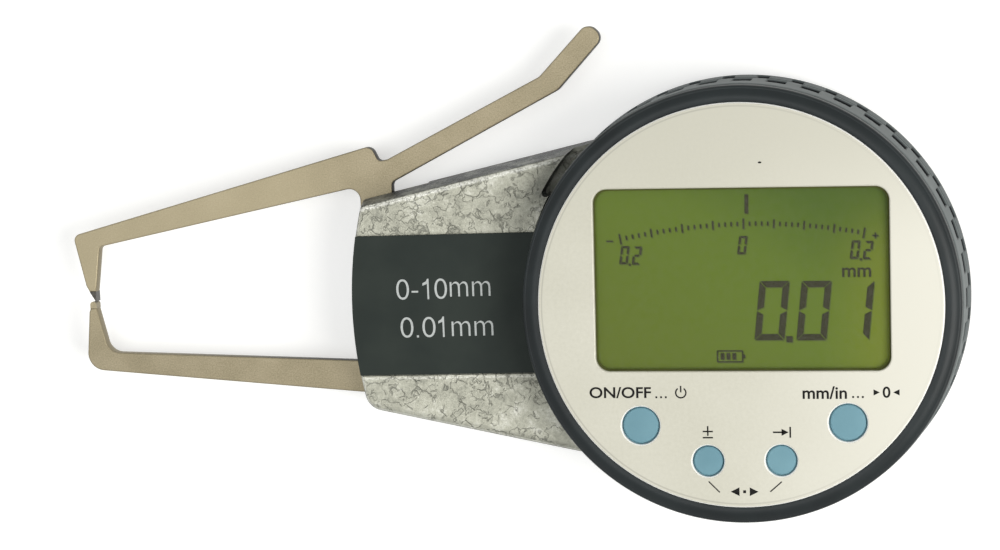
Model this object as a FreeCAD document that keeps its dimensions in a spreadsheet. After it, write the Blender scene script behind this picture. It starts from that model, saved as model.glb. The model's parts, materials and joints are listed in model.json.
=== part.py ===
"""Digital outside caliper gauge, 0 to 10 mm, lying on its back with the display up.

Millimetres. The origin is on the rest plane, under the centre of the round display head.
+X runs along the body from the jaws to the head, +Y to the finger lever's side, +Z to the dial.
"""
import FreeCAD, Part
import Sketcher
import math
import os

doc = FreeCAD.newDocument("OutsideCaliperGauge")

SIZES = {
    # Body, seen from the front: a wedge with a convex left end and a round pan under the head
    "body_depth": 12.0,
    "parting_height": 5.6,
    "waist_x": -40.0,
    "waist_half_width": 18.35,
    "taper_deg": 12.4,
    "body_end_x": -56.6,
    "body_end_radius": 60.0,
    "wedge_root_x": -10.0,
    "draft_deg": 9.0,
    "lower_corner_radius": 2.8,
    "upper_corner_radius": 0.8,
    "edge_radius": 0.6,
    "body_wall": 2.2,
    "floor_thickness": 1.8,
    "cavity_ceiling": 9.5,
    "cavity_end_x": -33.0,
    "pan_radius": 28.6,
    "pan_top": 8.0,
    "seat_radius": 30.9,
    "relief_depth": 1.1,
    "relief_start_deg": 120.0,
    "relief_end_deg": 150.4,
    # Label plate let into the front
    "label_width": 20.0,
    "label_offset": 0.2,
    "label_recess": 0.6,
    "label_thickness": 0.35,
    "label_side_gap": 0.12,
    # Measuring arms
    "arm_thickness": 2.0,
    "contact_x": -94.9,
    "contact_y": 1.15,
    "contact_gap": 0.02,
    "anvil_width": 0.95,
    "lower_anvil_radius": 0.5,
    "arm_seat_gap": 0.05,
    "slot_gap": 0.2,
    "slot_end_x": -45.0,
    "slot_low_y": 12.0,
    # Pivot
    "pivot_x": -46.0,
    "pivot_pin_radius": 1.4,
    "pivot_bush_radius": 2.2,
    "pivot_boss_radius": 3.0,
    "running_gap": 0.02,
    "thrust_gap": 0.3,
    "bush_seat_height": 0.8,
    # Toothed sector and pinion
    "gear_module": 0.4,
    "pinion_teeth": 16,
    "sector_teeth_total": 214,
    "sector_teeth_cut": 12,
    "sector_thickness": 1.2,
    "sector_hub_radius": 4.2,
    "sector_rim_depth": 3.0,
    "sector_window_start": 17.0,
    "pinion_hub_radius": 2.0,
    "pinion_hub_height": 0.6,
    "opening_deg": 11.8,
    "tooth_thinning": 0.07,
    "rivet_radius": 0.8,
    "rivet_head_radius": 1.3,
    "rivet_head_height": 0.25,
    # Closing spring round the pivot
    "spring_wire_radius": 0.22,
    "spring_coil_radius": 3.5,
    "spring_turns": 3.0,
    "spring_pitch": 0.6,
    "spring_leg_deg": 18.0,
    "spring_leg_length": 6.2,
    "spring_contact": 5.2,
    "spring_pin_radius": 0.6,
    "spring_post_radius": 0.8,
    "stop_pin_radius": 1.0,
    "stop_pin_reach": 11.0,
    # Screws
    "screw_radius": 1.0,
    "screw_head_radius": 1.95,
    "screw_head_height": 1.1,
    "screw_head_sink": 0.2,
    "screw_socket_radius": 0.85,
    "screw_socket_depth": 0.7,
    "screw_boss_radius": 2.5,
    "screw_gap": 0.1,
    "blind_end": 0.5,
    # Head
    "total_height": 20.0,
    "head_radius": 30.0,
    "display_turn_deg": -0.8,
    "swivel_gap": 0.3,
    "wall_foot_radius": 30.58,
    "wall_top_radius": 30.15,
    "wall_inner_radius": 27.7,
    "bezel_height": 2.6,
    "housing_floor": 1.7,
    "rail_offset": 9.0,
    "rail_width": 1.6,
    "rail_length": 4.2,
    "grip_pitch_deg": 9.0,
    "grip_width": 2.5,
    "grip_depth": 0.6,
    "grip_low": 9.0,
    "grip_high": 12.9,
    "grip_free_deg": 29.0,
    "port_free_deg": 13.0,
    "wedge_free_deg": 52.0,
    "notch_shift_deg": 3.2,
    "ring_lean": 0.115,
    "ring_foot_radius": 30.5,
    "ring_belly_radius": 30.9,
    "ring_lip_radius": 27.5,
    "ring_lip_height": 1.0,
    "ring_gap": 0.1,
    "ring_foot": 0.3,
    "notch_width": 1.5,
    "notch_depth": 0.45,
    "notch_height": 2.2,
    # Bezel and face
    "face_radius": 27.7,
    "face_thickness": 0.8,
    "face_fit": 0.05,
    "face_ledge": 0.7,
    "bezel_drop": 0.8,
    "bezel_rim_drop": 0.28,
    "bezel_roll": 0.45,
    "bezel_ledge": 0.8,
    "face_chamfer": 0.2,
    "window_length": 40.2,
    "window_width": 25.0,
    "window_x": 0.3,
    "window_y": 3.6,
    "window_corner": 1.4,
    "lens_border": 0.9,
    "lens_thickness": 0.4,
    "panel_border": 1.9,
    "panel_thickness": 1.4,
    "frame_border": 2.6,
    "frame_corner": 1.0,
    "frame_land": 0.8,
    "window_land": 2.2,
    "lens_land": 1.5,
    "lens_corner": 0.3,
    "frame_gap": 0.05,
    "strip_inset": 1.2,
    "strip_width": 1.8,
    "strip_end_gap": 0.4,
    # Buttons
    "large_button_radius": 2.45,
    "small_button_radius": 2.0,
    "button_gap": 0.12,
    "button_recess": 0.25,
    "button_travel": 0.4,
    "button_flange": 0.7,
    "button_flange_height": 0.7,
    "button_edge": 0.15,
    "hole_chamfer": 0.25,
    "mat_thickness": 0.4,
    "mat_half_length": 18.6,
    "mat_low_y": -24.0,
    "mat_high_y": -13.0,
    "mat_screw_gap": 0.3,
    "dome_gap": 0.45,
    "dome_taper": 0.6,
    # Swivel
    "spigot_radius": 13.0,
    "spigot_bore": 11.0,
    "spigot_height": 2.9,
    "spigot_groove": 0.7,
    "swivel_fit": 0.08,
    "clip_width": 2.4,
    "clip_thickness": 0.5,
    "clip_opening": 6.0,
    "washer_radius": 18.0,
    "stop_circle_radius": 20.0,
    "swivel_range_deg": 130.0,
    "swivel_pin_radius": 0.9,
    "swivel_pin_height": 1.4,
    "swivel_slot_gap": 0.4,
    # Encoder
    "shaft_radius": 1.2,
    "shaft_bush_radius": 2.4,
    "shaft_foot": 0.9,
    "shaft_top": 10.7,
    "rotor_radius": 8.0,
    "rotor_thickness": 0.8,
    "rotor_hub_radius": 2.2,
    "stator_thickness": 1.0,
    "stator_hole_radius": 3.4,
    "stator_fit": 0.2,
    "stator_screw_circle": 9.5,
    "small_screw_radius": 0.6,
    "small_screw_head": 1.0,
    "small_screw_head_height": 0.5,
    "stator_screw_length": 1.3,
    "stator_screw_hole": 1.5,
    # Board, battery and data port
    "board_depth": 4.4,
    "board_thickness": 1.0,
    "board_screw_length": 3.5,
    "board_screw_hole": 4.0,
    "board_screw_head_height": 0.7,
    "board_radius": 27.2,
    "board_post_radius": 2.2,
    "board_post_circle": 25.6,
    "board_screw_head": 1.2,
    "cell_radius": 10.0,
    "cell_thickness": 3.2,
    "cell_y": -17.0,
    "cell_step": 0.6,
    "cell_step_width": 1.2,
    "cell_fit": 0.15,
    "contact_half_width": 2.0,
    "contact_reach_low": 1.0,
    "contact_reach_high": 9.0,
    "tray_wall": 0.7,
    "tray_floor": 0.6,
    "tray_rise": 1.1,
    "tray_side_height": 2.0,
    "tray_back_gap": 0.9,
    "tray_gap": 0.12,
    "drawer_side_gap": 0.4,
    "drawer_front_depth": 6.7,
    "drawer_top_gap": 0.3,
    "port_deg": -42.0,
    "port_width": 9.0,
    "port_height": 3.2,
    "plug_thickness": 1.2,
    "plug_gap": 0.05,
    "socket_start": 20.5,
    "socket_end_gap": 1.5,
    "socket_side_gap": 0.9,
    "socket_foot_gap": 0.2,
}

sheet = doc.addObject("Spreadsheet::Sheet", "Dims")
for row, (alias, value) in enumerate(SIZES.items(), start=1):
    sheet.set("A%d" % row, alias)
    sheet.set("B%d" % row, str(value))
    sheet.setAlias("B%d" % row, alias)
doc.recompute()


class Dims:
    """The sheet's values by alias, for the shapes that are worked out here."""

    def __getattr__(self, alias):
        return float(sheet.get(alias))


d = Dims()
Z_AXIS = FreeCAD.Vector(0, 0, 1)
parts = []


def vec(x, y, z=0.0):
    return FreeCAD.Vector(x, y, z)


def polar(radius, degrees, z=0.0):
    return vec(radius * math.cos(math.radians(degrees)), radius * math.sin(math.radians(degrees)), z)


def disc(radius, low, high, x=0.0, y=0.0):
    return Part.makeCylinder(radius, high - low, vec(x, y, low))


def tube(outer, inner, low, high, x=0.0, y=0.0):
    return disc(outer, low, high, x, y).cut(disc(inner, low, high, x, y))


def block(x_low, x_high, y_low, y_high, z_low, z_high):
    return Part.makeBox(x_high - x_low, y_high - y_low, z_high - z_low, vec(x_low, y_low, z_low))


def turned(profile):
    """A solid of revolution round Z from (radius, height) corners."""
    points = [vec(radius, 0, height) for radius, height in profile]
    face = Part.Face(Part.makePolygon(points + points[:1]))
    return face.revolve(vec(0, 0), Z_AXIS, 360)


def rounded_curves(corners):
    """Lines and tangent arcs of a closed outline from (x, y, radius) corners."""
    count = len(corners)
    starts = []
    ends = []
    curves = []
    arcs = []
    for i, (x, y, radius) in enumerate(corners):
        here = vec(x, y)
        back = vec(*corners[i - 1][:2]) - here
        ahead = vec(*corners[(i + 1) % count][:2]) - here
        half = back.getAngle(ahead) / 2
        reach = min(radius / math.tan(half), 0.45 * back.Length, 0.45 * ahead.Length)
        if radius == 0:
            starts.append(here)
            ends.append(here)
            arcs.append(None)
            continue
        back.normalize()
        ahead.normalize()
        real_radius = reach * math.tan(half)
        inward = (back + ahead).normalize()
        middle = here + inward * (real_radius / math.sin(half) - real_radius)
        starts.append(here + back * reach)
        ends.append(here + ahead * reach)
        arcs.append(Part.Arc(starts[-1], middle, ends[-1]))
    for i in range(count):
        if arcs[i]:
            curves.append(arcs[i])
        curves.append(Part.LineSegment(ends[i], starts[(i + 1) % count]))
    return curves


def plate_solid(corners, low, high):
    wire = Part.Wire([curve.toShape() for curve in rounded_curves(corners)])
    wire.translate(vec(0, 0, low))
    return Part.Face(wire).extrude(vec(0, 0, high - low))


def keep(obj, turn=False):
    """Lists a sub-part; the display's own pieces are turned with the display."""
    obj.Label = obj.Name
    if turn:
        display_turn = FreeCAD.Rotation(Z_AXIS, d.display_turn_deg)
        obj.Placement = FreeCAD.Placement(vec(0, 0), display_turn) * obj.Placement
    parts.append(obj)
    return obj


def shaped(name, shape, turn=False):
    obj = doc.addObject("Part::Feature", name)
    obj.Shape = shape
    return keep(obj, turn)


def origin_plane(body, role):
    return next(plane for plane in body.Origin.OriginFeatures if plane.Role == role)


def flat_sketch(body, name, height, curves, circles=()):
    """A sketch parallel to XY at a height; each circle is (x, y, radius) in words of the sheet."""
    sketch = body.newObject("Sketcher::SketchObject", name)
    sketch.AttachmentSupport = [(origin_plane(body, "XY_Plane"), "")]
    sketch.MapMode = "FlatFace"
    sketch.setExpression("AttachmentOffset.Base.z", height)
    sketch.addGeometry(list(curves), False)
    for x, y, radius in circles:
        index = sketch.addGeometry(Part.Circle(vec(x, y), Z_AXIS, 1.0), False)
        sketch.addConstraint(Sketcher.Constraint("Radius", index, getattr(d, radius)))
        sketch.setExpression("Constraints[%d]" % (sketch.ConstraintCount - 1), "Dims." + radius)
    return sketch


def padded(name, corners, height, thickness, circles=(), turn=False):
    """A plate: one closed outline and round holes, padded upwards from a height."""
    body = doc.addObject("PartDesign::Body", name)
    sketch = flat_sketch(body, name + "_outline", height, rounded_curves(corners), circles)
    pad = body.newObject("PartDesign::Pad", name + "_pad")
    pad.Profile = sketch
    pad.setExpression("Length", thickness)
    sketch.Visibility = False
    return keep(body, turn)


def cylinder(name, radius, low, high, x=0.0, y=0.0, turn=False):
    """A round bar as a primitive whose sizes are words of the sheet."""
    bar = doc.addObject("Part::Cylinder", name)
    bar.setExpression("Radius", radius)
    bar.setExpression("Height", "%s - (%s)" % (high, low))
    bar.Placement = FreeCAD.Placement(vec(x, y), FreeCAD.Rotation())
    bar.setExpression("Placement.Base.z", low)
    return bar


def bush(name, outer, inner, low, high, x, y):
    """A plain bush: a round bar with a bore."""
    cut = doc.addObject("Part::Cut", name)
    cut.Base = cylinder(name + "_bar", outer, low, high, x, y)
    cut.Tool = cylinder(name + "_bore", inner, low, high, x, y)
    return keep(cut)


# Heights that several pieces share
arm_low = d.parting_height - d.arm_thickness / 2
arm_high = d.parting_height + d.arm_thickness / 2
sector_low = arm_low - d.sector_thickness
foot = d.pan_top + d.swivel_gap
floor_top = foot + d.housing_floor
shoulder = d.total_height - d.bezel_height
face_low = d.total_height - d.face_thickness
lens_low = face_low - d.lens_thickness
board_low = d.total_height - d.board_depth
board_high = board_low + d.board_thickness
tray_low = floor_top + d.tray_rise
cell_low = tray_low + d.tray_floor
cell_high = cell_low + d.cell_thickness
bezel_inner_radius = d.face_radius + d.face_fit
frame_radius = d.face_radius - d.frame_land
window_radius = d.face_radius - d.window_land
lens_radius = d.face_radius - d.lens_land
taper = math.tan(math.radians(d.taper_deg))
draft = math.tan(math.radians(d.draft_deg))
pivot_y = 0.0
CLAMP_SCREWS = [(-51.0, -10.55), (-41.5, -11.35)]
BODY_SCREWS = [(-33.6, 14.9), (-33.6, -14.9), (12.0, 18.5), (12.0, -18.5)]


def half_width(x, inset=0.0):
    """Half the body's width at the parting plane, or inside it by an inset."""
    return d.waist_half_width - inset / math.cos(math.radians(d.taper_deg)) + (x - d.waist_x) * taper


def body_corner(inset):
    """Where the slanted side meets the convex left end, both moved inwards."""
    centre_x = d.body_end_x + d.body_end_radius
    radius = d.body_end_radius - inset
    rise = half_width(0.0, inset)
    a = 1 + taper ** 2
    b = taper * rise - centre_x
    c = centre_x ** 2 + rise ** 2 - radius ** 2
    x = (-b - math.sqrt(b ** 2 - a * c)) / a
    return vec(x, rise + taper * x)


def body_outline(inset, height, root_x):
    """The wedge's outline: two slanted sides, a convex left end, a straight root under the head."""
    centre = vec(d.body_end_x + d.body_end_radius, 0)
    slant = math.radians(d.taper_deg)
    corner_arcs = []
    end_points = []
    for side, radius in ((1, d.upper_corner_radius), (-1, d.lower_corner_radius)):
        middle = body_corner(inset + radius)
        middle = vec(middle.x, side * middle.y)
        outward = (middle - centre).normalize()
        across = vec(-math.sin(slant), side * math.cos(slant))
        on_end = middle + outward * radius
        on_side = middle + across * radius
        between = middle + (outward + across).normalize() * radius
        corner_arcs.append(Part.Arc(on_side, between, on_end))
        end_points.append((on_side, on_end))
    left = centre - vec(d.body_end_radius - inset, 0)
    root_y = half_width(root_x, inset)
    (upper_side, upper_end), (lower_side, lower_end) = end_points
    curves = [corner_arcs[0], Part.Arc(upper_end, left, lower_end), corner_arcs[1],
              Part.LineSegment(lower_side, vec(root_x, -root_y)),
              Part.LineSegment(vec(root_x, -root_y), vec(root_x, root_y)),
              Part.LineSegment(vec(root_x, root_y), upper_side)]
    wire = Part.Wire(Part.__sortEdges__([curve.toShape() for curve in curves]))
    wire.translate(vec(0, 0, height))
    return wire


def rounded_wedge(face_height):
    """Half of the body's wedge: drafted sides and a rounded edge round its face."""
    depth = abs(face_height - d.parting_height)
    foot_wire = body_outline(0.0, d.parting_height, d.wedge_root_x)
    face_wire = body_outline(depth * draft, face_height, d.wedge_root_x)
    wedge = Part.makeLoft([foot_wire, face_wire], True, True)
    rim = [e for e in wedge.Edges if abs(e.BoundBox.ZMin - face_height) < 0.01
           and abs(e.BoundBox.ZMax - face_height) < 0.01 and e.BoundBox.XMin < d.wedge_root_x - 1]
    return wedge.makeFillet(d.edge_radius, rim)


def sector_room():
    """The space in which the toothed sector swings and the pinion turns."""
    swing = block(d.cavity_end_x - 1, -1.8, -13.0, 13.0, d.floor_thickness, d.parting_height)
    return swing.fuse(disc(4.8, d.floor_thickness, d.parting_height))


def arm_slots():
    """The moving arm's slot in the upper side and the fixed arm's seat in the left end."""
    moving = block(d.body_end_x - 1, d.slot_end_x, d.slot_low_y, d.waist_half_width + 4,
                   arm_low - d.slot_gap, arm_high + d.slot_gap)
    neck = block(d.body_end_x + 1.7, d.body_end_x + 6, 8.0, d.slot_low_y + 1,
                 arm_low - d.slot_gap, arm_high + d.slot_gap)
    left, right = d.body_end_x - 1, d.body_end_x + 8
    lower, upper = FIXED_ARM[2:4], (FIXED_ARM[5], FIXED_ARM[4])
    gap = d.arm_seat_gap
    fixed = plate_solid([(left, edge_y(lower, left) - gap, 0), (right, edge_y(lower, right) - gap, 0),
                         (right, edge_y(upper, right) + gap, 0), (left, edge_y(upper, left) + gap, 0)],
                        arm_low, arm_high)
    return moving.fuse(neck).fuse(fixed)


def edge_y(edge, x):
    """Where a straight edge between two listed corners passes an x place."""
    (x_start, y_start, _), (x_end, y_end, _) = edge
    return y_start + (x - x_start) * (y_end - y_start) / (x_end - x_start)


def front_casting():
    """The die-cast front: drafted wedge, round pan, circular seat with its relief, spigot, bosses."""
    wedge = rounded_wedge(d.body_depth)
    ceiling = d.body_depth + 1
    seat = disc(d.seat_radius, d.pan_top, ceiling)
    relief_ring = disc(d.seat_radius + d.relief_depth, d.pan_top, ceiling)
    start = polar(2 * d.seat_radius, d.relief_start_deg, d.pan_top)
    end = polar(2 * d.seat_radius, d.relief_end_deg, d.pan_top)
    sector = Part.Face(Part.makePolygon([vec(0, 0, d.pan_top), start, end, vec(0, 0, d.pan_top)]))
    relief = relief_ring.common(sector.extrude(vec(0, 0, ceiling - d.pan_top)))
    edge = polar(d.seat_radius + d.relief_depth / 2, d.relief_end_deg)
    relief = relief.fuse(disc(d.relief_depth / 2, d.pan_top, ceiling, edge.x, edge.y))
    shape = wedge.cut(seat.fuse(relief))
    lip_low = d.pan_top - d.ring_lip_height
    shape = shape.fuse(disc(d.pan_radius, d.parting_height, lip_low))
    shape = shape.fuse(disc(d.ring_lip_radius - d.ring_gap, d.parting_height, d.pan_top))
    spigot_top = d.pan_top + d.spigot_height
    shape = shape.fuse(tube(d.spigot_radius, d.spigot_bore, d.pan_top, spigot_top))
    groove_radius = d.spigot_radius - d.spigot_groove
    shape = shape.cut(tube(d.spigot_radius + 1, groove_radius, floor_top, floor_top + d.clip_thickness))
    cavity = Part.Face(body_outline(d.body_wall, d.parting_height, d.cavity_end_x))
    cavity = cavity.extrude(vec(0, 0, d.cavity_ceiling - d.parting_height))
    for x, y in CLAMP_SCREWS:
        cavity = cavity.cut(disc(d.screw_boss_radius, arm_high, d.cavity_ceiling, x, y))
    for x, y in BODY_SCREWS[:2]:
        cavity = cavity.cut(disc(d.screw_boss_radius, d.parting_height, d.cavity_ceiling, x, y))
    boss_low = arm_high + d.thrust_gap
    cavity = cavity.cut(disc(d.pivot_boss_radius, boss_low, d.cavity_ceiling, d.pivot_x, pivot_y))
    post = spring_side(d.spring_leg_deg + 180, d.spring_post_radius)
    cavity = cavity.cut(disc(d.spring_post_radius, arm_high + d.thrust_gap, d.cavity_ceiling, post.x, post.y))
    shape = shape.cut(cavity)
    shape = shape.cut(disc(d.pivot_bush_radius, boss_low, d.cavity_ceiling, d.pivot_x, pivot_y))
    shape = shape.cut(disc(d.shaft_bush_radius, d.parting_height, d.pan_top))
    for x, y in CLAMP_SCREWS + BODY_SCREWS[:2]:
        shape = shape.cut(disc(d.screw_radius, d.parting_height, d.cavity_ceiling - d.blind_end, x, y))
    for x, y in BODY_SCREWS[2:]:
        shape = shape.cut(disc(d.screw_radius, d.parting_height, d.pan_top - 0.6, x, y))
    stop = stop_pin_place()
    shape = shape.cut(disc(d.stop_pin_radius, d.cavity_ceiling, d.cavity_ceiling + 1, stop.x, stop.y))
    pin = polar(d.stop_circle_radius, 180)
    shape = shape.cut(disc(d.swivel_pin_radius, d.parting_height + 0.6, d.pan_top, pin.x, pin.y))
    for point in stator_screw_places():
        hole_low = d.pan_top - d.stator_screw_hole
        shape = shape.cut(disc(d.small_screw_radius, hole_low, d.pan_top, point.x, point.y))
    shape = shape.cut(arm_slots()).cut(label_recess())
    return shape.removeSplitter()


def rear_shell():
    """The rear half: drafted wedge and pan, the sector's room, bosses and screw holes."""
    shape = rounded_wedge(0.0).fuse(disc(d.pan_radius, 0, d.parting_height))
    cavity = Part.Face(body_outline(d.body_wall, d.floor_thickness, d.cavity_end_x))
    cavity = cavity.extrude(vec(0, 0, d.parting_height - d.floor_thickness)).fuse(sector_room())
    for x, y in CLAMP_SCREWS:
        cavity = cavity.cut(disc(d.screw_boss_radius, d.floor_thickness, arm_low, x, y))
    for x, y in BODY_SCREWS[:2]:
        cavity = cavity.cut(disc(d.screw_boss_radius, d.floor_thickness, d.parting_height, x, y))
    boss_high = sector_low - d.thrust_gap
    cavity = cavity.cut(disc(d.pivot_boss_radius, d.floor_thickness, boss_high, d.pivot_x, pivot_y))
    cavity = cavity.cut(disc(d.shaft_bush_radius + 1, d.floor_thickness, boss_high))
    shape = shape.cut(cavity)
    shape = shape.cut(disc(d.pivot_bush_radius, d.bush_seat_height, boss_high, d.pivot_x, pivot_y))
    shape = shape.cut(disc(d.shaft_bush_radius, d.bush_seat_height, boss_high))
    for x, y in CLAMP_SCREWS + BODY_SCREWS:
        shape = shape.cut(disc(d.screw_radius + d.screw_gap, 0, d.parting_height, x, y))
        seat = d.screw_head_height + d.screw_head_sink
        shape = shape.cut(disc(d.screw_head_radius + d.screw_gap, 0, seat, x, y))
    return shape.cut(arm_slots()).removeSplitter()


def label_strip(low, high, narrowing):
    half = d.label_width / 2 - narrowing
    return block(d.body_end_x - 1, d.wedge_root_x, d.label_offset - half, d.label_offset + half, low, high)


def label_recess():
    return label_strip(d.body_depth - d.label_recess, d.body_depth + 1, 0.0)


def label_plate():
    """A thin strip that ends with the casting's left end and with the seat."""
    low = d.body_depth - d.label_recess
    strip = label_strip(low, low + d.label_thickness, d.label_side_gap)
    inset = (low - d.parting_height) * draft
    outline = Part.Face(body_outline(inset, low, d.wedge_root_x)).extrude(vec(0, 0, d.label_thickness))
    return strip.common(outline).cut(disc(d.seat_radius, low, d.body_depth))


def screw(x, y, tip):
    """A socket screw with its head sunk in the rear shell."""
    low = d.screw_head_sink
    seat = low + d.screw_head_height
    head = disc(d.screw_head_radius, low, seat, x, y)
    corners = [vec(x, y) + polar(d.screw_socket_radius, 60 * k) for k in range(6)]
    socket = plate_solid([(corner.x, corner.y, 0) for corner in corners], low, low + d.screw_socket_depth)
    return head.cut(socket).fuse(disc(d.screw_radius, seat, tip, x, y))


def spring_start():
    """Where the coil's two legs leave it, as seen from above."""
    return vec(d.pivot_x, pivot_y) + polar(d.spring_coil_radius, d.spring_leg_deg - 90)


def spring_side(leg_deg, radius):
    """The centre of a round pin or post that a leg bears on, on the leg's upper side."""
    reach = polar(d.spring_contact, leg_deg)
    aside = polar(radius + d.spring_wire_radius + 0.02, d.spring_leg_deg + 90)
    return spring_start() + reach + aside


def stop_pin_place():
    """Past the open end of the travel, below the tail."""
    edge = vec(d.pivot_x, pivot_y) + polar(d.stop_pin_reach, -d.opening_deg - 8.5)
    return edge + vec(0, -d.stop_pin_radius - 0.5)


def sector_mid_deg():
    return d.opening_deg / 2


def stator_screw_places():
    return [polar(d.stator_screw_circle, 90 + 120 * k) for k in range(3)]


def toothed(teeth, places, root_fill, steps=3):
    """Teeth of an involute gear on a disc or sector; places are the teeth's angles in radians."""
    pitch_radius = d.gear_module * teeth / 2
    base = pitch_radius * math.cos(math.radians(20))
    tip = pitch_radius + 0.95 * d.gear_module
    root = pitch_radius - 1.25 * d.gear_module
    low = max(base, root)
    half_angle = math.pi / teeth / 2 - d.tooth_thinning / 2 / pitch_radius
    at_pitch = math.sqrt((pitch_radius / base) ** 2 - 1)
    at_pitch = at_pitch - math.atan(at_pitch)
    flank = []
    for k in range(steps + 1):
        radius = low + (tip - low) * k / steps
        angle = math.sqrt(max((radius / base) ** 2 - 1, 0.0))
        flank.append((radius, half_angle + at_pitch - (angle - math.atan(angle))))
    solid = root_fill
    for place in places:
        left = [(root * 0.98, flank[0][1])] + flank
        ring = [(radius, place - off) for radius, off in left]
        ring += [(radius, place + off) for radius, off in reversed(left)]
        points = [vec(radius * math.cos(angle), radius * math.sin(angle)) for radius, angle in ring]
        tooth = Part.Face(Part.makePolygon(points + points[:1]))
        solid = solid.fuse(tooth.extrude(vec(0, 0, d.sector_thickness)))
    return solid


def gear_sector():
    """A thin brass arm that widens to a toothed rim, riveted under the moving arm's tail."""
    teeth = int(d.sector_teeth_total)
    pitch = 2 * math.pi / teeth
    root = d.gear_module * (teeth / 2 - 1.25)
    first = -2
    places = [pitch * (first + k) for k in range(int(d.sector_teeth_cut))]
    low_deg = math.degrees(places[0] - pitch / 2)
    high_deg = math.degrees(places[-1] + pitch / 2)
    rim_inner = root - d.sector_rim_depth
    middle_deg = (low_deg + high_deg) / 2
    arc = [polar(root, low_deg), polar(root, middle_deg), polar(root, high_deg)]
    inner = [polar(rim_inner, high_deg), polar(rim_inner, middle_deg), polar(rim_inner, low_deg)]
    edges = [Part.Arc(*arc).toShape(), Part.makeLine(arc[2], inner[0]), Part.Arc(*inner).toShape(),
             Part.makeLine(inner[2], arc[0])]
    rim = Part.Face(Part.Wire(edges)).extrude(vec(0, 0, d.sector_thickness))
    mid = sector_mid_deg()
    hub_radius = d.sector_hub_radius
    corners = [polar(hub_radius, mid + 65), polar(rim_inner + 1, high_deg - 2.0),
               polar(rim_inner + 1, low_deg + 2.0), polar(hub_radius, mid - 65)]
    blade = Part.Face(Part.makePolygon(corners + corners[:1])).extrude(vec(0, 0, d.sector_thickness))
    start, end = d.sector_window_start, rim_inner - 2.5
    corners = [polar(start, mid + 4.5), polar(end, high_deg - 4.2), polar(end, low_deg + 4.2),
               polar(start, mid - 4.5)]
    window = Part.Face(Part.makePolygon(corners + corners[:1])).extrude(vec(0, 0, d.sector_thickness))
    hub = disc(hub_radius, 0, d.sector_thickness)
    solid = rim.fuse(blade).fuse(hub).cut(window)
    solid = toothed(teeth, places, solid)
    solid = solid.cut(disc(d.pivot_pin_radius, 0, d.sector_thickness))
    for point in rivet_places():
        local = point - vec(d.pivot_x, pivot_y)
        solid = solid.cut(disc(d.rivet_radius, 0, d.sector_thickness, local.x, local.y))
    solid.translate(vec(d.pivot_x, pivot_y, sector_low))
    return solid.removeSplitter()


def rivet_places():
    places = (polar(6.0, sector_mid_deg() + 20), polar(10.6, sector_mid_deg()))
    return [vec(d.pivot_x, pivot_y) + place for place in places]


def pinion():
    """Sixteen involute teeth on a hub, in mesh with the sector at rest."""
    teeth = int(d.pinion_teeth)
    pitch = 2 * math.pi / teeth
    root = d.gear_module * (teeth / 2 - 1.25)
    places = [pitch * (k + 0.5) for k in range(teeth)]
    solid = toothed(teeth, places, disc(root, 0, d.sector_thickness))
    hub_top = d.sector_thickness + d.pinion_hub_height
    hub = disc(d.pinion_hub_radius, d.sector_thickness, hub_top)
    solid = solid.fuse(hub).cut(disc(d.shaft_radius, 0, hub_top))
    solid.translate(vec(0, 0, sector_low))
    return solid.removeSplitter()


def closing_spring():
    """A torsion spring round the pivot's boss: a coil with a tangent leg at each end."""
    height = d.spring_pitch * d.spring_turns
    low = vec(d.spring_coil_radius, 0, 0)
    high = vec(d.spring_coil_radius, 0, height)
    length = d.spring_leg_length
    coil = Part.makeHelix(d.spring_pitch, height, d.spring_coil_radius)
    leg_in = Part.makeLine(low - vec(0, length, 0), low)
    leg_out = Part.makeLine(high, high + vec(0, length, 0))
    section = Part.Wire(Part.makeCircle(d.spring_wire_radius, low - vec(0, length, 0), vec(0, 1, 0)))
    spring = Part.Wire([leg_in] + coil.Edges + [leg_out]).makePipeShell([section], True, True)
    spring.rotate(vec(0, 0), Z_AXIS, d.spring_leg_deg - 90)
    spring.translate(vec(d.pivot_x, pivot_y, arm_high + d.thrust_gap + d.spring_wire_radius))
    return spring


def annular_slot(radius, half, low, high, span_deg):
    """A slot along an arc, round-ended, centred on the body's side of the head."""
    ring = tube(radius + half, radius - half, low, high)
    open_deg = 180 - span_deg
    gap = Part.makePolygon([vec(0, 0, low), polar(3 * radius, open_deg, low), polar(3 * radius, 0, low),
                            polar(3 * radius, -open_deg, low), vec(0, 0, low)])
    ring = ring.cut(Part.Face(gap).extrude(vec(0, 0, high - low)))
    for angle in (open_deg, -open_deg):
        place = polar(radius, angle)
        ring = ring.fuse(disc(half, low, high, place.x, place.y))
    return ring


def wall_band(inner, low, high):
    """A band of the head's conical wall between two heights."""
    def outer(z):
        share = (z - foot) / (shoulder - foot)
        return d.wall_foot_radius + (d.wall_top_radius - d.wall_foot_radius) * share
    return turned([(inner, low), (outer(low), low), (outer(high), high), (inner, high)])


def grip_angles(free):
    count = int(round(360 / d.grip_pitch_deg))
    angles = [d.grip_pitch_deg * k for k in range(count)]
    return [a for a in angles if not free(a)]


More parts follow.
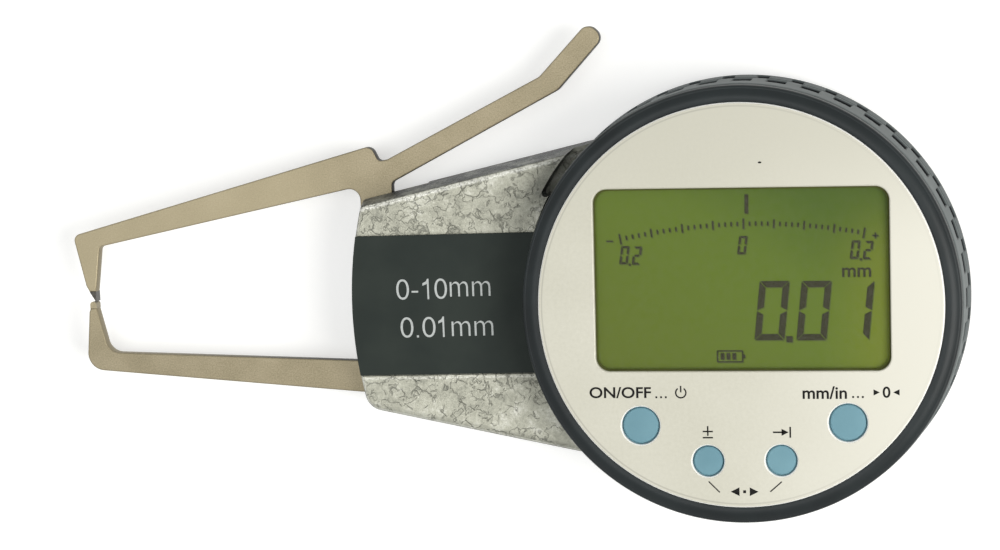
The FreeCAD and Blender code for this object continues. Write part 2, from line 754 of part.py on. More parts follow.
def display_housing():
    """The turning cup: a conical wall with grip pockets, a floor that rides on the spigot."""
    shape = wall_band(d.spigot_radius + d.swivel_fit, foot, shoulder)
    shape = shape.cut(disc(d.wall_inner_radius, floor_top, shoulder))
    near_drawer = lambda a: abs((a + 90 + 180) % 360 - 180) < d.grip_free_deg
    near_port = lambda a: abs((a - d.port_deg + 180) % 360 - 180) < d.port_free_deg
    for angle in grip_angles(lambda a: near_drawer(a) or near_port(a)):
        pocket = block(d.wall_foot_radius - d.grip_depth - 0.2, d.wall_foot_radius + 2, -d.grip_width / 2,
                       d.grip_width / 2, d.grip_low, d.grip_high)
        pocket.rotate(vec(0, 0), Z_AXIS, angle)
        shape = shape.cut(pocket)
    margin = math.degrees(d.swivel_pin_radius / d.stop_circle_radius) + 1.0
    span = d.swivel_range_deg + margin
    slot_half = d.swivel_pin_radius + d.swivel_slot_gap
    shape = shape.cut(annular_slot(d.stop_circle_radius, slot_half, foot, floor_top, span))
    for x, y in board_posts():
        post = disc(d.board_post_radius, floor_top, board_low, x, y)
        hole = disc(d.small_screw_radius, board_low - d.board_screw_hole, board_low, x, y)
        shape = shape.fuse(post).cut(hole)
    rail_y = d.cell_y - d.cell_radius + 0.8
    for middle in (-d.rail_offset, d.rail_offset):
        rail = block(middle - d.rail_width / 2, middle + d.rail_width / 2, rail_y, rail_y + d.rail_length,
                     floor_top, tray_low - d.tray_gap)
        shape = shape.fuse(rail)
    shape = shape.cut(drawer_mouth(0.0)).cut(port_mouth(0.0))
    return shape.removeSplitter()


def board_posts():
    return [tuple(polar(d.board_post_circle, angle))[:2] for angle in (-58, -8, 68, 112, 188, 238)]


def tray_half():
    return d.cell_radius + d.cell_fit + d.tray_wall


def drawer_heights():
    """The lowest and highest point of the drawer's opening."""
    return tray_low - 0.2, cell_high + d.drawer_top_gap


def drawer_mouth(gap):
    """The drawer's opening in the wall, or the drawer's own space when a gap is taken off."""
    half = tray_half() + d.drawer_side_gap - gap
    low, high = drawer_heights()
    inner_y = -d.wall_inner_radius + d.drawer_front_depth
    return block(-half, half, -d.head_radius - 3, inner_y, low + gap, high - gap)


def port_mouth(gap):
    half = d.port_width / 2 - gap
    low = board_low - d.port_height
    high = board_low - gap
    mouth = block(d.wall_inner_radius - 3, d.head_radius + 3, -half, half, low + gap, high)
    mouth.rotate(vec(0, 0), Z_AXIS, d.port_deg)
    return mouth


def battery_drawer():
    """A tray behind a piece of the head's wall; it slides out with its cell."""
    low, high = drawer_heights()
    front = wall_band(d.wall_inner_radius, low + d.tray_gap, high - d.tray_gap)
    front = front.common(drawer_mouth(d.tray_gap))
    half = tray_half()
    side_top = cell_low + d.tray_side_height
    front_y = -d.wall_inner_radius - 0.5
    back_y = d.cell_y + d.cell_radius + d.tray_back_gap
    tray = block(-half, half, front_y, back_y, tray_low, side_top)
    hollow = block(-half + d.tray_wall, half - d.tray_wall, front_y + d.tray_wall, back_y - d.tray_wall,
                   cell_low, side_top)
    corners = tube(2 * d.head_radius, d.wall_inner_radius + 0.5, tray_low, side_top)
    return front.fuse(tray.cut(hollow).cut(corners)).removeSplitter()


def base_ring():
    """The fixed ring round the pan under the turning head, open where the body's wedge comes in."""
    top = d.pan_top
    top_radius = d.ring_belly_radius - (top - d.parting_height) * d.ring_lean
    lip_low = top - d.ring_lip_height
    inner = d.pan_radius + d.ring_gap
    ring = turned([(inner, d.ring_foot), (d.ring_foot_radius, d.ring_foot),
                   (d.ring_belly_radius, d.parting_height), (top_radius, top), (d.ring_lip_radius, top),
                   (d.ring_lip_radius, lip_low), (inner, lip_low)])
    outline = Part.Face(body_outline(-d.ring_gap, 0, d.wedge_root_x)).extrude(vec(0, 0, top + 1))
    ring = ring.cut(outline)
    inside_wedge = lambda a: abs((a + 360) % 360 - 180) < d.wedge_free_deg
    for angle in grip_angles(inside_wedge):
        notch = block(d.ring_belly_radius - 0.25 - d.notch_depth, d.ring_belly_radius + 2, -d.notch_width / 2,
                      d.notch_width / 2, top - d.notch_height, top)
        notch.rotate(vec(0, 0), Z_AXIS, angle + d.notch_shift_deg)
        ring = ring.cut(notch)
    return ring.removeSplitter()


def bezel_ring():
    """The dark ring round the face: gently convex on top, with an inner ledge for the face plate."""
    rim = d.total_height - d.bezel_rim_drop
    edge = d.total_height - d.bezel_drop
    inner = bezel_inner_radius
    ledge = inner - d.face_ledge
    ledge_low = face_low - d.bezel_ledge
    wall = d.wall_inner_radius + 0.2
    corner = d.head_radius
    crown_end = vec(corner - d.bezel_roll, 0, edge + 0.12)
    crown = Part.Arc(vec(inner, 0, rim), vec((inner + crown_end.x) / 2, 0, rim - 0.05), crown_end)
    roll = Part.Arc(crown_end, vec(corner - 0.1, 0, edge - 0.12), vec(corner, 0, edge - 0.55))
    low = [vec(corner, 0, edge - 0.55), vec(corner, 0, shoulder), vec(wall, 0, shoulder),
           vec(wall, 0, ledge_low), vec(ledge, 0, ledge_low), vec(ledge, 0, face_low),
           vec(inner, 0, face_low), vec(inner, 0, rim)]
    wire = Part.Wire([crown.toShape(), roll.toShape()] + Part.makePolygon(low).Edges)
    return Part.Face(wire).revolve(vec(0, 0), Z_AXIS, 360)


BUTTONS = {
    "on_off_button": (-13.8, -16.4, "large_button_radius"),
    "unit_button": (14.5, -16.0, "large_button_radius"),
    "tolerance_button": (-4.6, -21.3, "small_button_radius"),
    "data_button": (5.4, -21.2, "small_button_radius"),
}


def window_corners(border, radius):
    """The window's outline, widened by a border."""
    half_x = d.window_length / 2 + border
    half_y = d.window_width / 2 + border
    left, right = d.window_x - half_x, d.window_x + half_x
    low, high = d.window_y - half_y, d.window_y + half_y
    return [(left, low, radius), (right, low, radius), (right, high, radius), (left, high, radius)]


def clipped_corners(border, limit):
    """The same outline, with each corner that passes a circle cut off by that circle's chord."""
    corners = []
    for x, y, radius in window_corners(border, d.lens_corner):
        if math.hypot(x, y) <= limit:
            corners.append((x, y, radius))
            continue
        on_side = (x, math.copysign(math.sqrt(limit ** 2 - x ** 2), y), radius)
        on_end = (math.copysign(math.sqrt(limit ** 2 - y ** 2), x), y, radius)
        corners += [on_side, on_end] if x * y > 0 else [on_end, on_side]
    return corners


def face_plate():
    """The silver front with the display's window and four chamfered button holes."""
    edge = d.face_chamfer
    plate = turned([(0, face_low), (d.face_radius, face_low), (d.face_radius, d.total_height - edge),
                    (d.face_radius - edge, d.total_height), (0, d.total_height)])
    window = plate_solid(window_corners(0.0, d.window_corner), face_low, d.total_height)
    plate = plate.cut(window.common(disc(window_radius, face_low, d.total_height)))
    for x, y, radius in BUTTONS.values():
        hole = getattr(d, radius) + d.button_gap
        plate = plate.cut(disc(hole, face_low, d.total_height, x, y))
        chamfer_low = d.total_height - d.hole_chamfer
        plate = plate.cut(Part.makeCone(hole, hole + d.hole_chamfer, d.hole_chamfer, vec(x, y, chamfer_low)))
    return plate


def button(radius, x, y):
    """A flat cap with a flange that stops it under the face."""
    top = d.total_height - d.button_recess
    flange_low = face_low - d.button_flange_height
    cap = disc(radius, flange_low, top, x, y)
    rim = [e for e in cap.Edges if abs(e.BoundBox.ZMin - top) < 0.001]
    cap = cap.makeFillet(d.button_edge, rim)
    return cap.fuse(disc(radius + d.button_flange, flange_low, face_low, x, y))


def keypad_mat():
    """A silicone sheet under the buttons with a dome below each."""
    half = d.mat_half_length
    mat_high = board_high + d.mat_thickness
    mat = plate_solid([(-half, d.mat_low_y, 3), (half, d.mat_low_y, 3), (half, d.mat_high_y, 1),
                       (-half, d.mat_high_y, 1)], board_high, mat_high)
    mat = mat.common(disc(d.board_radius - 1, board_high, mat_high))
    for x, y in board_posts():
        mat = mat.cut(disc(d.board_screw_head + d.mat_screw_gap, board_high, mat_high, x, y))
    dome_top = face_low - d.button_flange_height - d.dome_gap
    for x, y, alias in BUTTONS.values():
        radius = getattr(d, alias)
        mat = mat.fuse(Part.makeCone(radius, radius * d.dome_taper, dome_top - mat_high, vec(x, y, mat_high)))
    return mat


def lcd_frame():
    """The carrier round the LCD, from the board to the face, cut round by the bezel's ledge."""
    frame = plate_solid(window_corners(d.frame_border, d.frame_corner), board_high, face_low)
    frame = frame.common(disc(frame_radius, board_high, face_low))
    gap = d.frame_gap
    panel_room = plate_solid(clipped_corners(d.panel_border + gap, lens_radius + gap), board_high, lens_low)
    lens_room = plate_solid(clipped_corners(d.lens_border + gap, lens_radius + gap), lens_low, face_low)
    return frame.cut(panel_room).cut(lens_room)


def contact_strips():
    """Two elastomer strips between the board and the LCD's long edges, ended inside its outline."""
    high = lens_low - d.panel_thickness
    half_x = d.window_length / 2 + d.panel_border
    outline = clipped_corners(d.panel_border - d.strip_end_gap, lens_radius - d.strip_end_gap)
    room = plate_solid(outline, board_high, high)
    strips = []
    for side in (-1, 1):
        y = d.window_y + side * (d.window_width / 2 + d.panel_border - d.strip_inset)
        strip = block(d.window_x - half_x, d.window_x + half_x, y - d.strip_width / 2, y + d.strip_width / 2,
                      board_high, high)
        strips.append(strip.common(room))
    return Part.Compound(strips)


def retaining_clip():
    """An open spring ring in the spigot's groove that keeps the head on."""
    low = floor_top
    high = low + d.clip_thickness
    inner = d.spigot_radius - d.spigot_groove
    ring = tube(inner + d.clip_width, inner, low, high)
    return ring.cut(block(0, 2 * d.spigot_radius, -d.clip_opening / 2, d.clip_opening / 2, low, high))


# Where the hard tips meet their arms
UPPER_ANVIL_SEAT = 2.6
LOWER_ANVIL_SEAT = 0.15
MOVING_ARM = [
    (-95.85, UPPER_ANVIL_SEAT, 0), (-96.3, 3.4, 0), (-97.95, 10.8, 1.0), (-53.2, 22.6, 0.9),
    (-52.15, 20.35, 0.3), (-50.9, 20.55, 0.4), (-28.5, 31.6, 1.5), (-21.4, 39.0, 1.5), (-19.2, 36.85, 1.5), (-25.9, 29.65, 2.0),
    (-50.3, 17.3, 0.8), (-50.3, 9.0, 3.0), (-43.5, 5.0, 3.0), (-34.9, 3.7, 1.2), (-34.4, -1.3, 1.2),
    (-42.0, -4.2, 2.0), (-47.5, -5.6, 4.0), (-51.6, -2.5, 3.0), (-53.8, 9.0, 2.0), (-55.0, 12.5, 1.0),
    (-55.0, 16.84, 1.7), (-94.05, 9.1, 0.7), (-94.7, 4.0, 0), (-94.9, UPPER_ANVIL_SEAT, 0),
]
FIXED_ARM = [
    (-95.85, LOWER_ANVIL_SEAT, 0), (-96.05, -0.4, 0), (-96.75, -8.72, 2.0), (-37.0, -14.55, 1.0),
    (-37.0, -9.1, 1.0), (-93.35, -6.33, 1.2), (-94.9, LOWER_ANVIL_SEAT, 0),
]


def build():
    shaped("front_casting", front_casting())
    shaped("rear_shell", rear_shell())
    shaped("base_ring", base_ring())
    shaped("label_plate", label_plate())

    arm_base = "Dims.parting_height - Dims.arm_thickness / 2"
    arm_top = "Dims.parting_height + Dims.arm_thickness / 2"
    pivot_hole = (d.pivot_x, pivot_y, "pivot_pin_radius")
    rivet_holes = [(p.x, p.y, "rivet_radius") for p in rivet_places()]
    pin = spring_side(d.spring_leg_deg, d.spring_pin_radius)
    padded("moving_arm", MOVING_ARM, arm_base, "Dims.arm_thickness",
           [pivot_hole, (pin.x, pin.y, "spring_pin_radius")] + rivet_holes)
    padded("fixed_arm", FIXED_ARM, arm_base, "Dims.arm_thickness",
           [(x, y, "screw_radius") for x, y in CLAMP_SCREWS])
    wedge_low = d.contact_y + d.contact_gap
    left = d.contact_x - d.anvil_width
    padded("upper_anvil", [(left, UPPER_ANVIL_SEAT, 0), (d.contact_x, UPPER_ANVIL_SEAT, 0),
                           (d.contact_x + 0.02, wedge_low, 0), (d.contact_x - 0.08, wedge_low, 0)],
           arm_base, "Dims.arm_thickness")
    centre_y = d.contact_y - d.lower_anvil_radius
    tip_x = d.contact_x - d.anvil_width / 2
    tip_left, tip_right = tip_x - d.anvil_width / 2, tip_x + d.anvil_width / 2
    top = Part.Arc(vec(tip_right, centre_y), vec(tip_x, d.contact_y), vec(tip_left, centre_y))
    sides = Part.makePolygon([vec(tip_left, centre_y), vec(tip_left, LOWER_ANVIL_SEAT),
                              vec(tip_right, LOWER_ANVIL_SEAT), vec(tip_right, centre_y)])
    anvil = Part.Face(Part.Wire([top.toShape()] + sides.Edges))
    anvil.translate(vec(0, 0, arm_low))
    shaped("lower_anvil", anvil.extrude(vec(0, 0, d.arm_thickness)))

    shaped("gear_sector", gear_sector())
    rivets = []
    for point in rivet_places():
        rivet = disc(d.rivet_radius, sector_low, arm_high, point.x, point.y)
        for low in (sector_low - d.rivet_head_height, arm_high):
            rivet = rivet.fuse(disc(d.rivet_head_radius, low, low + d.rivet_head_height, point.x, point.y))
        rivets.append(rivet)
    shaped("sector_rivets", Part.Compound(rivets))
    pin_low = "Dims.bush_seat_height + 0.1"
    keep(cylinder("pivot_pin", "Dims.pivot_pin_radius", pin_low, "Dims.cavity_ceiling - 0.2",
                  d.pivot_x, pivot_y))
    bore = "Dims.pivot_pin_radius + Dims.running_gap"
    rear_boss_top = arm_base + " - Dims.sector_thickness - Dims.thrust_gap"
    front_boss_low = arm_top + " + Dims.thrust_gap"
    bush("rear_pivot_bush", "Dims.pivot_bush_radius", bore, "Dims.bush_seat_height", rear_boss_top,
         d.pivot_x, pivot_y)
    bush("front_pivot_bush", "Dims.pivot_bush_radius", bore, front_boss_low, "Dims.cavity_ceiling",
         d.pivot_x, pivot_y)
    shaped("closing_spring", closing_spring())
    keep(cylinder("spring_pin", "Dims.spring_pin_radius", arm_base, "Dims.cavity_ceiling - 0.4", pin.x, pin.y))
    stop = stop_pin_place()
    keep(cylinder("opening_stop_pin", "Dims.stop_pin_radius", arm_base + " + 0.2", "Dims.cavity_ceiling + 1",
                  stop.x, stop.y))
    shaped("arm_clamp_screws", Part.Compound([screw(x, y, d.cavity_ceiling - 0.7) for x, y in CLAMP_SCREWS]))
    body_screws = [screw(x, y, d.cavity_ceiling - 0.7) for x, y in BODY_SCREWS[:2]]
    body_screws += [screw(x, y, d.pan_top - 0.8) for x, y in BODY_SCREWS[2:]]
    shaped("body_screws", Part.Compound(body_screws))

    keep(cylinder("encoder_shaft", "Dims.shaft_radius", "Dims.shaft_foot", "Dims.shaft_top"))
    shaped("pinion", pinion())
    bore = "Dims.shaft_radius + Dims.running_gap"
    bush("lower_shaft_bush", "Dims.shaft_bush_radius", bore, "Dims.bush_seat_height", rear_boss_top, 0, 0)
    bush("upper_shaft_bush", "Dims.shaft_bush_radius", bore, "Dims.parting_height", "Dims.pan_top", 0, 0)
    stator_low = d.pan_top
    stator_high = stator_low + d.stator_thickness
    rotor_high = d.shaft_top - 0.3
    rotor = disc(d.rotor_radius, rotor_high - d.rotor_thickness, rotor_high)
    rotor = rotor.fuse(disc(d.rotor_hub_radius, d.pan_top + d.thrust_gap, rotor_high))
    shaped("encoder_rotor", rotor.cut(disc(d.shaft_radius, d.pan_top, rotor_high)))
    stator = tube(d.spigot_bore - d.stator_fit, d.stator_hole_radius, stator_low, stator_high)
    small = []
    for point in stator_screw_places():
        stator = stator.cut(disc(d.small_screw_radius, stator_low, stator_high, point.x, point.y))
        one = disc(d.small_screw_radius, stator_low - d.stator_screw_length, stator_high, point.x, point.y)
        head_high = stator_high + d.small_screw_head_height
        small.append(one.fuse(disc(d.small_screw_head, stator_high, head_high, point.x, point.y)))
    shaped("encoder_stator", stator)
    shaped("stator_screws", Part.Compound(small))
    shaped("friction_washer", tube(d.washer_radius, d.spigot_radius + 0.3, d.pan_top, foot))
    shaped("retaining_clip", retaining_clip())
    pin = polar(d.stop_circle_radius, 180)
    keep(cylinder("swivel_stop_pin", "Dims.swivel_pin_radius", "Dims.parting_height + 0.6",
                  "Dims.pan_top + Dims.swivel_gap + Dims.swivel_pin_height", pin.x, pin.y))

    shaped("display_housing", display_housing(), True)
    shaped("bezel_ring", bezel_ring(), True)
    shaped("face_plate", face_plate(), True)
    lens_base = "Dims.total_height - Dims.face_thickness - Dims.lens_thickness"
    padded("lcd_window", clipped_corners(d.lens_border, lens_radius), lens_base, "Dims.lens_thickness",
           turn=True)
    padded("lcd_panel", clipped_corners(d.panel_border, lens_radius), lens_base + " - Dims.panel_thickness",
           "Dims.panel_thickness", turn=True)
    shaped("lcd_frame", lcd_frame(), True)
    shaped("contact_strips", contact_strips(), True)
    board = disc(d.board_radius, board_low, board_high)
    board_screws = []
    for x, y in board_posts():
        board = board.cut(disc(d.small_screw_radius, board_low, board_high, x, y))
        one = disc(d.small_screw_radius, board_low - d.board_screw_length, board_high, x, y)
        head_high = board_high + d.board_screw_head_height
        board_screws.append(one.fuse(disc(d.board_screw_head, board_high, head_high, x, y)))
    shaped("main_board", board, True)
    shaped("board_screws", Part.Compound(board_screws), True)
    shaped("keypad_mat", keypad_mat(), True)
    for name, (x, y, radius) in BUTTONS.items():
        shaped(name, button(getattr(d, radius), x, y), True)
    shaped("battery_drawer", battery_drawer(), True)
    step_high = cell_low + d.cell_step
    cell = disc(d.cell_radius, step_high, cell_high, 0, d.cell_y)
    cell = cell.fuse(disc(d.cell_radius - d.cell_step_width, cell_low, step_high, 0, d.cell_y))
    shaped("coin_cell", cell, True)
    contact_low, contact_high = d.cell_y + d.contact_reach_low, d.cell_y + d.contact_reach_high
    contact = block(-d.contact_half_width, d.contact_half_width, contact_low, contact_high, cell_high, board_low)
    shaped("battery_contact", contact, True)
    port_low = board_low - d.port_height
    half = d.port_width / 2 - d.socket_side_gap
    socket = block(d.socket_start, d.wall_inner_radius - d.socket_end_gap, -half, half,
                   port_low + d.socket_foot_gap, board_low)
    socket.rotate(vec(0, 0), Z_AXIS, d.port_deg)
    shaped("data_socket", socket, True)
    gap = d.plug_gap
    plug = wall_band(d.wall_inner_radius - d.plug_thickness, port_low + gap, board_low - gap)
    shaped("data_port_plug", plug.common(port_mouth(gap)), True)


def check_and_export():
    doc.recompute()
    for obj in doc.Objects:
        if "Invalid" in obj.State or "Error" in obj.State:
            raise RuntimeError("%s failed" % obj.Label)
    os.makedirs("parts", exist_ok=True)
    for obj in parts:
        if obj.Shape.isNull() or not obj.Shape.isValid() or not obj.Shape.Solids:
            raise RuntimeError("%s has no valid solid" % obj.Label)
        obj.Shape.exportStep("parts/%s.step" % obj.Label)
        print("%-20s %3d solids %9.1f mm3" % (obj.Label, len(obj.Shape.Solids), obj.Shape.Volume))


build()
check_and_export()
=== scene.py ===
"""Looks of the digital outside caliper gauge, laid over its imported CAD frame.

Lengths are millimetres, and MM turns them into metres. Heights are above the table.
The display head is built unturned and then turned with the display, as the CAD's is.
"""
import json
import math

import bpy
import numpy as np
from mathutils import Matrix, Vector


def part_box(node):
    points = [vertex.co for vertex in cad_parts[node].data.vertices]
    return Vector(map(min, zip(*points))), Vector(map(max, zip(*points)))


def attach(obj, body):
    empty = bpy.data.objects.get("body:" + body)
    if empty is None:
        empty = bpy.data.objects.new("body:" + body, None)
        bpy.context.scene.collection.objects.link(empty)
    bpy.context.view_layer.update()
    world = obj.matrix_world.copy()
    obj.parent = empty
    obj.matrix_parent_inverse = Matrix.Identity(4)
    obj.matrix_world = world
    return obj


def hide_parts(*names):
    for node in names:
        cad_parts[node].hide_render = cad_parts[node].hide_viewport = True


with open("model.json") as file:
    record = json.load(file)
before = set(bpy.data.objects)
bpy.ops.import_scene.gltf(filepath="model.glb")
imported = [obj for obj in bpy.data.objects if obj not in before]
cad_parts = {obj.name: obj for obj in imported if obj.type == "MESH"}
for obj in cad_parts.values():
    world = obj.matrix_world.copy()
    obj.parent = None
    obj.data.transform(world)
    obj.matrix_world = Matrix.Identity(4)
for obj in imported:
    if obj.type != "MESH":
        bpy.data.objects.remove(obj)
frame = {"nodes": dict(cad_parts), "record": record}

MM = 0.001
DISPLAY_TURN = math.radians(-0.8)
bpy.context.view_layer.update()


# Measures read from the frame

def node_box(name):
    """A node's lowest and highest corners in millimetres."""
    low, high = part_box(name)
    return np.array(low) / MM, np.array(high) / MM


def node_heights(name):
    """The heights of a node's underside and top."""
    low, high = node_box(name)
    return low[2], high[2]


def node_radius(name):
    """The radius of a round node that stands on the display's axis."""
    return node_box(name)[1][0]


face_low, face_high = node_heights("face_plate")
face_radius = node_radius("face_plate")
bezel_low = node_heights("bezel_ring")[0]
wall_low, wall_high = node_heights("display_housing")
wall_foot_radius = node_radius("display_housing")
ring_low, ring_high = node_heights("base_ring")
ring_radius = node_radius("base_ring")
arm_low, arm_high = node_heights("fixed_arm")
panel_top = node_heights("lcd_panel")[1]

head_radius = 30.0
wall_top_radius = head_radius + 0.15
# The ring is straight above its bellied foot, and leans in a little toward its top
ring_belly_top = 5.6
ring_lean = 0.115
# The body's upper border in plan is y = body_rise + body_slope * x
body_slope = math.tan(math.radians(12.4))
body_rise = 18.35 + 40.0 * body_slope


# Helpers for colours and shader nodes

def colour(code):
    """A hex sRGB colour as linear RGBA."""
    parts = np.array([int(code[k:k + 2], 16) for k in (0, 2, 4)]) / 255.0
    linear = np.where(parts <= 0.04045, parts / 12.92, ((parts + 0.055) / 1.055) ** 2.4)
    return (*linear, 1.0)


def add_node(tree, kind, sockets, output=0, stops=(), **settings):
    """Adds one shader node and gives back one of its outputs, or all of them where output is None.

    Sockets says what each input is: another node's output, which is linked, or a plain value.
    Stops are a colour ramp's (position, hex colour) pairs.
    """
    node = tree.nodes.new(kind)
    for name, value in settings.items():
        setattr(node, name, value)
    for name, value in sockets.items():
        if isinstance(value, bpy.types.NodeSocket):
            tree.links.new(value, node.inputs[name])
        else:
            node.inputs[name].default_value = value
    if stops:
        elements = node.color_ramp.elements
        while len(elements) < len(stops):
            elements.new(0.5)
        for element, (position, code) in zip(elements, stops):
            element.position = position
            element.color = colour(code)
    return node.outputs if output is None else node.outputs[output]


def new_material(name, roughness, metallic=0.0):
    """A material with a Principled shader, its node tree and object coordinates."""
    material = bpy.data.materials.new(name)
    material.use_nodes = True
    tree = material.node_tree
    shader = tree.nodes["Principled BSDF"]
    shader.inputs["Roughness"].default_value = roughness
    shader.inputs["Metallic"].default_value = metallic
    return material, tree, shader, add_node(tree, "ShaderNodeTexCoord", {}, output="Object")


def dress(tree, shader, tone, relief=None, strength=0.0, depth_mm=0.0):
    """Gives a shader its colour and, from a height field, its fine relief."""
    tree.links.new(tone, shader.inputs["Base Color"])
    if relief is not None:
        normal = add_node(tree, "ShaderNodeBump",
                          {"Height": relief, "Strength": strength, "Distance": depth_mm * MM})
        tree.links.new(normal, shader.inputs["Normal"])


def features(size_mm):
    """The texture scale whose features are about size_mm across."""
    return 1.0 / (size_mm * MM)


def coat(tree, under, code, *masks):
    """Lays a colour over another; its thickness is the product of the masks.

    A mask is a node's output from 0 to 1, or (value, low, high, thickness at low, thickness at high),
    which is eased between the two.
    """
    thickness = None
    for mask in masks:
        if isinstance(mask, tuple):
            value, low, high, at_low, at_high = mask
            mask = add_node(tree, "ShaderNodeMapRange",
                            {"Value": value, "From Min": low, "From Max": high, "To Min": at_low,
                             "To Max": at_high}, interpolation_type="SMOOTHSTEP")
        if thickness is None:
            thickness = mask
        else:
            thickness = add_node(tree, "ShaderNodeMath", {0: thickness, 1: mask}, operation="MULTIPLY")
    return add_node(tree, "ShaderNodeMix", {"Factor": thickness, 6: under, 7: colour(code)}, output=2,
                    data_type="RGBA")


def away_from(tree, value, middle):
    """How far a value lies from a middle one, on either side."""
    off = add_node(tree, "ShaderNodeMath", {0: value, 1: middle}, operation="SUBTRACT")
    return add_node(tree, "ShaderNodeMath", {0: off}, operation="ABSOLUTE")


def axis_distance(tree, x, y):
    """The distance in plan from the display's axis."""
    flat = add_node(tree, "ShaderNodeCombineXYZ", {"X": x, "Y": y})
    return add_node(tree, "ShaderNodeVectorMath", {0: flat}, output="Value", operation="LENGTH")


def surface_normal(tree):
    """The X, Y and Z of the surface's direction, in the object's own frame."""
    normal = add_node(tree, "ShaderNodeTexCoord", {}, output="Normal")
    return add_node(tree, "ShaderNodeSeparateXYZ", {"Vector": normal}, output=None)


# Hammertone enamel of the casting

def enamel_veins(tree, place):
    """Thin dark veins, 1 on a vein: broken borders of pooled cells, and fine curls between them."""
    # Warping bends the cells' straight borders
    warp = add_node(tree, "ShaderNodeTexNoise",
                    {"Vector": place, "Scale": features(1.9), "Detail": 2.5, "Roughness": 0.55},
                    output="Color")
    centred = add_node(tree, "ShaderNodeVectorMath", {0: warp, 1: (0.5, 0.5, 0.5)}, operation="SUBTRACT")
    shift = add_node(tree, "ShaderNodeVectorMath", {0: centred, "Scale": 2.4 * MM}, operation="SCALE")
    moved = add_node(tree, "ShaderNodeVectorMath", {0: place, 1: shift}, operation="ADD")
    border = add_node(tree, "ShaderNodeTexVoronoi", {"Vector": moved, "Scale": features(2.3)},
                      output="Distance", feature="DISTANCE_TO_EDGE")
    line = add_node(tree, "ShaderNodeMapRange",
                    {"Value": border, "From Min": 0.0, "From Max": 0.05, "To Min": 1.0, "To Max": 0.0},
                    interpolation_type="SMOOTHSTEP")
    breaks = add_node(tree, "ShaderNodeTexNoise", {"Vector": moved, "Scale": features(1.6), "Detail": 2.0})
    gate = add_node(tree, "ShaderNodeMapRange", {"Value": breaks, "From Min": 0.47, "From Max": 0.59},
                    interpolation_type="SMOOTHSTEP")
    wide = add_node(tree, "ShaderNodeMath", {0: line, 1: gate}, operation="MULTIPLY")
    # The curls run where a noise crosses its middle value
    curl = add_node(tree, "ShaderNodeTexNoise", {"Vector": moved, "Scale": features(2.7), "Detail": 3.0})
    fine = add_node(tree, "ShaderNodeMapRange",
                    {"Value": away_from(tree, curl, 0.5), "From Min": 0.0, "From Max": 0.014, "To Min": 0.75,
                     "To Max": 0.0}, interpolation_type="SMOOTHSTEP")
    return add_node(tree, "ShaderNodeMath", {0: wide, 1: fine}, operation="MAXIMUM")


